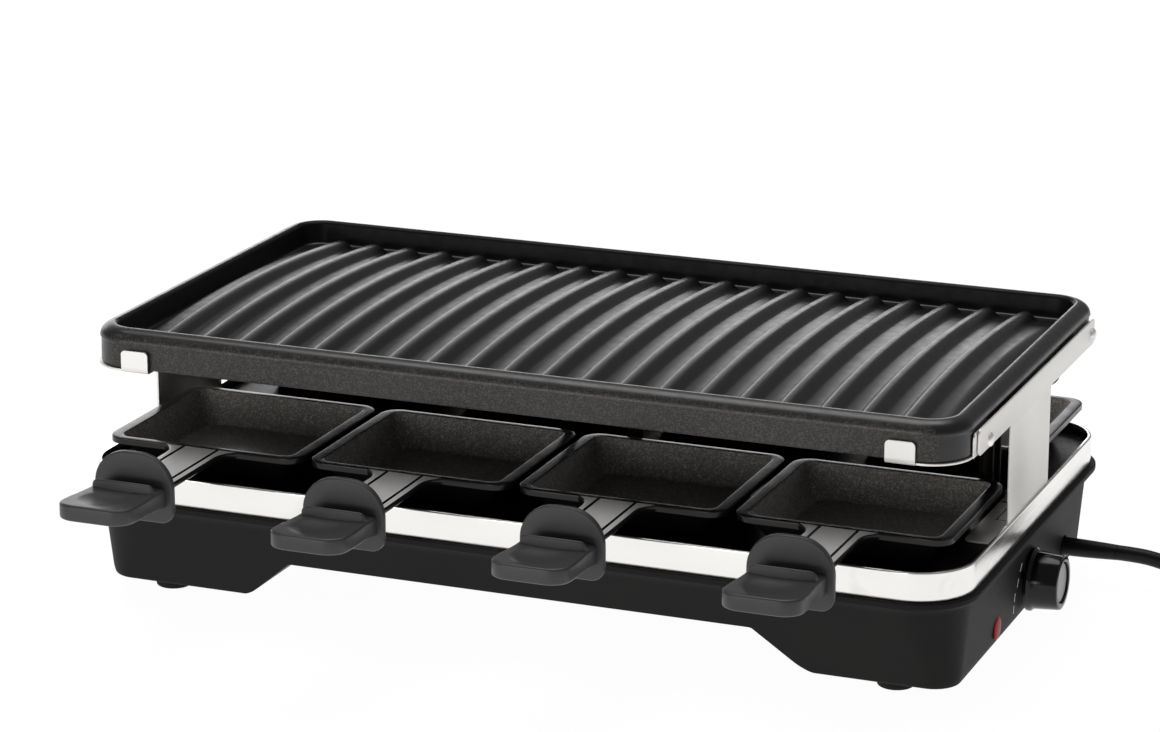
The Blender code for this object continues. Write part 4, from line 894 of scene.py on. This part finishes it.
# C-shaped strip, two tabs bent up in front and behind, two lugs bent up at the end
def carrierShells():
    top, (outX, outY), root = sheet["carrierTop"], sheet["carrierOut"], sheet["tabY"]
    low, inX, inY = top - sheet["thick"], outX - sheet["carrierWidth"], outY - sheet["carrierWidth"]
    tabIn, tabOut = sheet["tabX"]
    half = [(outX, outY), (tabOut, outY), (tabOut, root), (tabIn, root), (tabIn, inY), (inX, inY)]
    radii = [19.5, 0, 0, 0, 2, 7.5]
    corners = half + [(x, -y) for x, y in half[::-1]]
    shells = [slab(softOutline(corners, radii + radii[::-1], 10), low, top, "z", sheet["edge"])]
    # A tab's middle line runs out, turns up through a quarter circle, and rises
    level, bend, (flat, start) = low + sheet["thick"] / 2, sheet["tabBend"], sheet["tabRun"]
    line = [(root - flat, level)]
    line += [(root - start + bend * math.sin(a), level + bend * (1 - math.cos(a))) for a in quarterTurn(6)]
    line.append((line[-1][0], sheet["tabTop"]))
    shells += [bentStrip(line, tabIn, tabOut, side) for side in (-1, 1)]
    for start, end in sheet["lugs"]:
        lug = [(start, low), (end, low), (end, sheet["lugTop"]), (start, sheet["lugTop"])]
        shells.append(slab(softOutline(lug, [0, 0, 2.5, 2.5]), *sheet["lugX"], "x", sheet["edge"]))
    return shells


# T sheet with its bar along the plate's end, and its foot turned in on the deck
def bracketShells():
    (z0, z1), (y0, y1), (a, b), low = sheet["barZ"], sheet["barY"], sheet["legY"], sheet["footZ"]
    corners = [(a, low), (b, low), (b, z0), (y1, z0), (y1, z1), (y0, z1), (y0, z0), (a, z0)]
    outline = softOutline(corners, [0, 0, 1, 2, 2, 2.5, 2.5, 1])
    (x0, x1), (y0, y1) = sheet["footX"], sheet["footY"]
    footOutline = softOutline([(x0, y0), (x1, y0), (x1, y1), (x0, y1)], [3, 3, 0, 3])
    tee = slab(outline, *sheet["barX"], "x", sheet["bracketEdge"])
    return [tee, slab(footOutline, low, footTop, "z", sheet["bracketEdge"])]


# Dark punched slots in the foot: thin black bars laid on it, each from one corner to the other, stand for the
# holes, showing the black deck seen through them plus painted shade
def slotShells():
    shells, (low, high) = [], sheet["slotZ"]
    for x0, y0, x1, y1 in sheet["slots"]:
        shells.append(slab([(x0, y0), (x1, y0), (x1, y1), (x0, y1)], footTop + low, footTop + high))
    return shells


# Low domes on the bar: the radius falls as a cosine while it rises as a sine
def rivetShells():
    (radius, height), x = sheet["rivetSize"], sheet["barX"][1]
    turn = quarterTurn(8) * 0.96
    profile = [(radius, x - 0.4), *zip(radius * np.cos(turn), x + height * np.sin(turn))]
    return [turned(profile, "x", at, 28) for at in sheet["rivets"]]


# Pan head: a shallow dome with a flat top
def screwShells():
    profile = [(radius, footTop + z) for radius, z in sheet["screwHead"]]
    return [turned(profile, "z", sheet["screwAt"], 28)]


# The left end's pieces mirror the right end's
def makeSheetParts():
    bracket = bracketShells()
    parts = (
        ("plateCarrier", carrierShells(), bracketSteel, "stainless", "plate_carrier_", 30),
        ("endBracket", bracket, bracketSteel, "stainless", "end_bracket_", 30),
        ("footSlots", slotShells(), blackEnamel, "enamel", None, 40),
        ("rivets", rivetShells(), rivetSteel, "stainless", None, 40),
        ("footScrew", screwShells(), rivetSteel, "stainless", None, 40),
    )
    for side in ("right", "left"):
        for name, shells, finish, slot, node, crease in parts:
            handed = [moved(shell, flipX=side == "left") for shell in shells]
            nodes = [node + side] if node else []
            piece = makePiece(name + side.capitalize(), handed, finish, slot, nodes, crease=crease)
            if shells is bracket:
                # The foot is the last shell
                inFoot = np.arange(len(piece.data.polygons)) >= len(bracket[0][1])
                finishFaces(piece, [footSteel], inFoot)


makeSheetParts()
print("carriers and brackets made")

# Pans and their handles

pan = {
    "pitch": 102.6,
    "frontY": -64.25,
    "backNode": "pan_back_1",
    "bottom": 57.8,
    "half": (49.5, 45.25, 9.0),
    "height": 15.8,
    "sheet": 0.8,
    "sideRim": 5.6,
    "endRim": 3.6,
    "lip": 3.0,
    "wallRun": 8.0,
    "floorCorner": 6.0,
    "stemHalf": 12.5,
    "stemReach": 62.0,
    "stemInHandle": 24.0,  # how far the solid's stem goes on into the handle
    "stemBelow": 0.05,
    "stemSink": (2.4, 1.6),  # its start and its flare's start inside the rim
    "stemEdge": 2.2,
    "stemRound": 0.9,
    "grooveAt": 8.6,
    "grooveHalf": 0.8,
    "grooveDepth": 0.9,
    "grooveStart": (1.0, 2.0),  # they begin this far inside the rim and deepen over this length
    "rootRound": 12.0,
}


# Floor, sloping wall, folded lip and flat rim outside and in, from one rounded profile
def bowlShell():
    half, t, top, lip = pan["half"], pan["sheet"], pan["height"], pan["height"] - pan["lip"]
    mx, my, mr = half[0] - pan["sideRim"], half[1] - pan["endRim"], half[2] - pan["endRim"]
    fx, fy, fr = mx - pan["wallRun"], my - pan["wallRun"], pan["floorCorner"]
    rows = [
        (fx - 3, fy - 3, fr - 2, 0),
        (fx + t * 0.6, fy + t * 0.6, fr + t, 0),
        (mx + t, my + t, mr + t, top - t),
        drawnIn(half, t, top - t),
        drawnIn(half, t, lip),
        drawnIn(half, 0, lip),
        drawnIn(half, 0, top),
        (mx, my, mr, top),
        (fx, fy, fr, t),
        (fx - 3, fy - 3, fr - 2, t),
    ]
    return loft(softRows(rows, [0, 1.6, 0.7, 0.5, 0.2, 0.2, 0.8, 0.7, 1.4, 0], 5), 12)


# Pressed strip level with the rim: folded edges, two grooves, and a root that flares into the rim
def stemShell():
    t, top, half, flare = pan["sheet"], pan["height"] - pan["stemBelow"], pan["stemHalf"], pan["rootRound"]
    rimY, turn = -pan["half"][1], quarterTurn(12)
    begin, sink = pan["stemSink"]
    bent = rimY + sink - flare * (1 - np.cos(turn))
    straight = np.linspace(bent[-1], rimY - pan["stemReach"], 8)[1:]
    y = np.concatenate([[rimY + begin], bent, straight])
    width = np.concatenate([[half + flare], half + flare * (1 - np.sin(turn)), np.full(len(straight), half)])
    at, wide, deep, r = pan["grooveAt"], pan["grooveHalf"], pan["grooveDepth"], pan["stemRound"]
    grooveRim, grooveRun = pan["grooveStart"]
    rows = []
    for rowY, rowHalf in zip(y, width):
        fade = min(1.0, max(0.0, (rimY + grooveRim - rowY) / grooveRun))
        left = [(-rowHalf, -pan["stemEdge"])]
        left += [(-rowHalf + r * (1 - math.cos(a)), -r * (1 - math.sin(a))) for a in quarterTurn(4)]
        left += [(-at + wide * u, -deep * fade * (1 - u**2)) for u in np.linspace(-1, 1, 9)]
        line = np.array(left + [(-x, z) for x, z in left[::-1]])
        lower = line[::-1] - (0, t)
        lower[:, 0] = np.clip(lower[:, 0], -rowHalf + t, rowHalf - t)
        section = np.concatenate([line, lower])
        rows.append(np.column_stack([section[:, 0], np.full(len(section), rowY), section[:, 1] + top]))
    return gridShell(np.array(rows))


handle = {
    "shieldHalf": 19.4,
    "shieldHeight": 31.5,
    "shieldThick": 3.4,
    "shieldRound": 0.9,
    "topCorner": 16.0,
    "footCorner": 6.0,
    "shieldDrop": 12.2,
    "below": 0.1,
    "gap": 0.3,
    "gripHalf": 17.6,
    "rootHalf": 16.4,
    "sink": 1.5,
    "widening": (12.0, 26.0),
    "thick": 8.8,
    "tipThick": 7.4,
    "length": 41.8,
    "rise": 2.6,
    "rootDrop": 5.6,
    "tipCorner": 9.0,
    "edge": 1.1,
    "bowlRadius": 12.5,
    "bowlDepth": 1.6,
    "bowlShare": 0.60,
    "ridgeAt": 10.5,
    "ridgeThick": 1.5,
    "ridgeHalf": 15.4,
    "ridgeHigh": 4.4,
    "ridgeEnd": 3.2,
    "ridgeBow": 1.6,
    "ridgeCrownShare": 0.16,
    "ridgeSink": 1.0,
}
shieldBack = -pan["half"][1] - pan["stemReach"] - handle["gap"]
shieldFront = shieldBack - handle["shieldThick"]
stemTop = pan["height"] - handle["below"]


# Upright plate with round corners, larger above, drawn in at both faces by quarter circles
def shieldShell():
    low = stemTop - pan["stemEdge"] - handle["shieldDrop"]
    high = low + handle["shieldHeight"]
    layers = []
    for inset, y in zip(*edgeRows(handle["shieldRound"], shieldFront, shieldBack, 4)):
        half = handle["shieldHalf"] - inset
        corners = [(-half, low + inset), (half, low + inset), (half, high - inset), (-half, high - inset)]
        radii = [handle["footCorner"] - inset] * 2 + [handle["topCorner"] - inset] * 2
        outline = softOutline(corners, radii, 12)
        layers.append(laidOut(outline[:, 0], outline[:, 1], np.full(len(outline), y), "y"))
    return gridShell(np.array(layers))


# Level of the grip's upper side, and its thickness: it rises evenly and thins over its first half
def gripTop(y):
    share = (shieldFront - y) / handle["length"]
    thick = np.interp(share, [0, 0.5], [handle["thick"], handle["tipThick"]])
    root = stemTop - pan["stemEdge"] / 2 - handle["rootDrop"] + handle["thick"] / 2
    return root + handle["rise"] * share + thick / 2, thick


# Rings from the lower to the upper face of a rounded outline; the thumb bowl on top is a paraboloid
def gripShell():
    length, corner, edge, full = handle["length"], handle["tipCorner"], handle["edge"], handle["gripHalf"]
    back, tip = shieldFront + handle["sink"], shieldFront - length
    side = np.linspace(back, tip + corner, 16)
    half = np.interp(shieldFront - side, handle["widening"], [handle["rootHalf"], full])
    turn, nose = quarterTurn(11), np.linspace(full - corner, 0, 5)[1:]
    x = np.concatenate([half[:-1], full - corner + corner * np.cos(turn), nose])
    y = np.concatenate([side[:-1], tip + corner - corner * np.sin(turn), np.full(len(nose), tip)])
    right = np.column_stack([x, y])
    outline = np.vstack([right, right[-2::-1] * (-1, 1)])
    centre = np.array((0.0, (back + tip) / 2))
    bowlMiddle = np.array((0.0, shieldFront - length * handle["bowlShare"]))

    def level(points, onTop, lift):
        top, thick = gripTop(points[:, 1])
        bowl = np.clip(1 - np.sum(((points - bowlMiddle) / handle["bowlRadius"]) ** 2, 1), 0, 1)
        return np.column_stack([points, top + lift - (handle["bowlDepth"] * bowl if onTop else thick)])

    def drawn(inset):
        return centre + (outline - centre) * (1 - inset / np.array((full, (back - tip) / 2)))

    insets, lifts = edgeRows(edge, 0, 0, 4)
    rows = [level(drawn(insets[k]), k >= len(insets) / 2, lifts[k]) for k in range(len(insets))]
    # Inner rings carry the thumb bowl to the middle of the top
    for share in np.linspace(0.94, 0.04, 16):
        spot = centre + (bowlMiddle - centre) * (1 - share)
        rows.append(level(spot + (drawn(edge) - centre) * share, True, 0.0))
    return gridShell(np.array(rows))


# Thumb stop: a thin wall across the grip with a bowed, rounded top and rounded ends
def ridgeShell():
    half, thick, end = handle["ridgeHalf"], handle["ridgeThick"] / 2, handle["ridgeEnd"]
    y0 = shieldFront - handle["ridgeAt"]
    root = gripTop(y0)[0]
    turn = np.linspace(0, math.pi, 9)
    rows = []
    for u in np.sin(np.linspace(-math.pi / 2, math.pi / 2, 33)):
        past = max(0.0, (abs(u) * half - half + end) / end)
        crown = handle["ridgeHigh"] * (1 - handle["ridgeCrownShare"] * u**2)
        rise = crown - end * (1 - math.sqrt(max(0.0, 1 - past**2)))
        slim = thick * math.sqrt(max(0.04, 1 - max(0.0, (past - 0.6) / 0.4) ** 2))
        y = y0 + handle["ridgeBow"] * u**2 + slim * np.concatenate([[1.5], np.cos(turn), [-1.5]])
        top = rise - thick + thick * np.sin(turn)
        z = root + np.concatenate([[-handle["ridgeSink"]], top, [-handle["ridgeSink"]]])
        rows.append(np.column_stack([np.full(len(y), half * u), y, z]))
    return gridShell(np.array(rows))


# The bowl is flecked inside its rim on a ground painted lighter than the black coating as painted light, the
# stem's flats are painted pale as painted sheen, and all else is smooth and dark
def finishPan(piece, place, bowlFaces):
    middles, normals = facesOf(piece)
    past = np.abs(middles - place)[:, :2] - pan["half"][:2]
    inBowl = np.arange(len(middles)) < bowlFaces
    flecked = inBowl & (normals[:, 2] > 0.1) & (past[:, 0] < -pan["sideRim"]) & (past[:, 1] < -pan["endRim"])
    flat = ~inBowl & (normals[:, 2] > 0.95)
    finishFaces(piece, [panSmooth, stemPaintedSheen], np.where(flat, 2, ~flecked))


# Two rows of four pans; the back row is turned round and ends where its solids do
def makePans():
    bowl, stem = bowlShell(), stemShell()
    handleShells = shieldShell(), gripShell(), ridgeShell()
    reach = pan["half"][1] + pan["stemReach"] + pan["stemInHandle"]
    backY = boxOf(pan["backNode"])[1][1] - reach
    for row, y, turn in (("front", pan["frontY"], 0.0), ("back", backY, math.pi)):
        for column in range(4):
            place = ((column - 1.5) * pan["pitch"], y, pan["bottom"])
            name, label = f"{row}_{column + 1}", f"{row.capitalize()}{column + 1}"
            body = f"pan_{name}"
            shells = [moved(shell, place, turn) for shell in (bowl, stem)]
            piece = makePiece("pan" + label, shells, panPaintedLightCoating, "pan_coating", [body], body)
            finishPan(piece, place, len(bowl[1]))
            shells = [moved(shell, place, turn) for shell in handleShells]
            makePiece("handle" + label, shells, gripPlastic, "grip_plastic", [f"pan_handle_{name}"], body)


makePans()
print("pans and handles made")

# Heater, feet, deck, supports and the parts inside the base

heater = {
    "radius": 3.25,
    "z": 102.75,
    "runY": 66.0,
    "innerY": 22.0,
    "endX": 190.0,
    "farX": 197.0,
    "returnX": 170.0,
    "bend": 20.0,
    "endY": (-6.0, 6.0),
    "low": 45.5,
}


# Straight runs joined by quarter circles, all in one tube
def makeHeater():
    z, run, inner, low, r = heater["z"], heater["runY"], heater["innerY"], heater["low"], heater["bend"]
    x, far, back, (first, second) = heater["endX"], heater["farX"], heater["returnX"], heater["endY"]
    corners = [
        (x, first, low), (x, first, z), (x, -run, z), (-far, -run, z), (-far, -inner, z), (back, -inner, z),
        (back, inner, z), (-far, inner, z), (-far, run, z), (x, run, z), (x, second, z), (x, second, low),
    ]
    corners = np.array(corners, float)
    path = [corners[:1]]
    turn = quarterTurn(9)[:, None]
    for before, here, after in zip(corners, corners[1:], corners[2:]):
        a, b = before - here, after - here
        a, b = a / np.linalg.norm(a), b / np.linalg.norm(b)
        path.append(here + (a + b) * r - b * r * np.cos(turn) - a * r * np.sin(turn))
    path.append(corners[-1:])
    shell = carried(np.concatenate(path), heater["radius"], 18)
    makePiece("heatingElement", [shell], heaterSheath, "heater_sheath", ["heating_element"])


foot = {"radius": 8.5, "edge": 1.2, "height": 4.2, "neck": 7.5}


# Round rubber foot with its lower edge rounded by a quarter circle
def makeFeet():
    radius, edge, height = foot["radius"], foot["edge"], foot["height"]
    profile = [(radius - edge + edge * math.sin(a), edge - edge * math.cos(a)) for a in quarterTurn(4)]
    profile += [(radius, height), (foot["neck"], height)]
    for number in range(1, 5):
        node = f"rubber_foot_{number}"
        low, high = boxOf(node)
        shell = turned(profile, "z", (low + high)[:2] / 2, 40)
        makePiece(f"rubberFoot{number}", [shell], footRubber, "rubber", [node])


# CAD nodes whose shape is right keep it and get their finish
def finishNodes():
    finishes = {
        "pan_deck": blackEnamel,
        "heater_support_left": blackPaint,
        "heater_support_right": blackPaint,
        "thermostat": brownPhenolic,
        "terminal_block": brownPhenolic,
        "lamp_holder": brownPhenolic,
        "knob_shaft": nickelPlate,
        "inner_lead": cordSheath,
    }
    for name, finish in finishes.items():
        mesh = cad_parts[name].data
        mesh.materials.clear()
        mesh.materials.append(finish)


makeHeater()
makeFeet()
finishNodes()
print("heater, feet and inner parts made")

# Knob, insert, lamp and the printed marks

# Profiles are radius and distance, from the wall or from the knob's face
knob = {
    "short": 2.6,  # its face stands this much below the solid's
    "skirt": ((14.3, 0.0), (14.6, 0.3), (14.6, 1.7), (13.9, 2.4), (13.9, 2.5), (13.4, 3.2)),
    "face": ((12.6, -1.0), (12.3, -0.25), (11.7, 0.0), (10.1, 0.0), (9.6, -0.3), (9.4, -2.2)),
    "insert": ((9.2, -2.1), (9.2, -1.3), (8.9, -1.05), (8.2, -1.0), (5.2, -0.98)),
    "pointer": (1.0, -0.4, 0.06),  # width, and how far it goes in and stands out
    "pointerFoot": ((13.38, 3.4),),
    "pointerHead": ((12.62, -1.0), (11.98, -0.1)),
}


# Two turned profiles on the shaft's axis, and a thin light line inlaid along the top as the pointer
def makeKnob():
    low, high = boxOf("control_knob")
    wall, face = low[0], high[0] - knob["short"]
    y, z = holes["shaft"][1:]

    def placed(fromWall, fromFace):
        return [(r, wall + x) for r, x in fromWall] + [(r, face + x) for r, x in fromFace]

    body = turned(placed(knob["skirt"], knob["face"]), "x", (y, z), 96)
    makePiece("controlKnob", [body], knobPlastic, "knob_plastic", ["control_knob"], "knob", 28)
    insert = turned(placed((), knob["insert"]), "x", (y, z), 72)
    makePiece("knobInsert", [insert], knobGrey, "knob_insert", ["knob_insert"], "knob", 28)
    wide, sunk, proud = knob["pointer"]
    corners = ((-wide / 2, sunk), (wide / 2, sunk), (wide / 2, proud), (-wide / 2, proud))
    path = placed(knob["pointerFoot"], knob["pointerHead"])
    rows = [[(x, y + side, z + radius + lift) for side, lift in corners] for radius, x in path]
    makePiece("knobPointer", [gridShell(np.array(rows))], printInk, "knob_insert", (), "knob")


lens = {"stem": 4.2, "collar": 5.4, "dome": 5.2, "domeHeight": 0.7, "stand": 0.25}


# Stem, collar and a low dome whose radius falls as a cosine while it rises as a sine
def makeLens():
    y, z = holes["lamp"][1:]
    wall = wallX(z) + lens["stand"]
    turn = quarterTurn(8) * 0.95
    profile = [(lens["stem"], boxOf("indicator_lens")[0][0]), (lens["stem"], wall)]
    profile += [(lens["collar"] - 0.1, wall), (lens["collar"], wall + 0.25)]
    profile += zip(lens["dome"] * np.cos(turn), wall + 0.3 + lens["domeHeight"] * np.sin(turn))
    shell = turned(profile, "x", (y, z), 48)
    makePiece("indicatorLens", [shell], lensRed, "lens_red", ["indicator_lens"], crease=30)


marks = {
    "places": ((-10.9, 31.2, 62), (-13.4, 24.4, 75), (-16.0, 18.1, 88), (-15.3, 12.1, 100)),  # y, z, angle
    "long": 4.0,
    "wide": 0.7,
    "lifts": (-0.15, 0.05),
}


# Printed dashes on the end wall: thin plates that follow its lean
def makeMarks():
    shells = []
    for y, z, angle in marks["places"]:
        a = math.radians(angle)
        along = np.array((math.cos(a), math.sin(a))) * marks["long"] / 2
        across = np.array((-math.sin(a), math.cos(a))) * marks["wide"] / 2
        corners = [np.array((y, z)) + s * along + t * across for s, t in ((-1, -1), (1, -1), (1, 1), (-1, 1))]
        rows = [[(wallX(c[1]) + lift, *c) for c in corners] for lift in marks["lifts"]]
        shells.append(gridShell(np.array(rows)))
    makePiece("printedMarks", shells, printInk, "knob_insert")


makeKnob()
makeLens()
makeMarks()
print("knob, lamp and marks made")
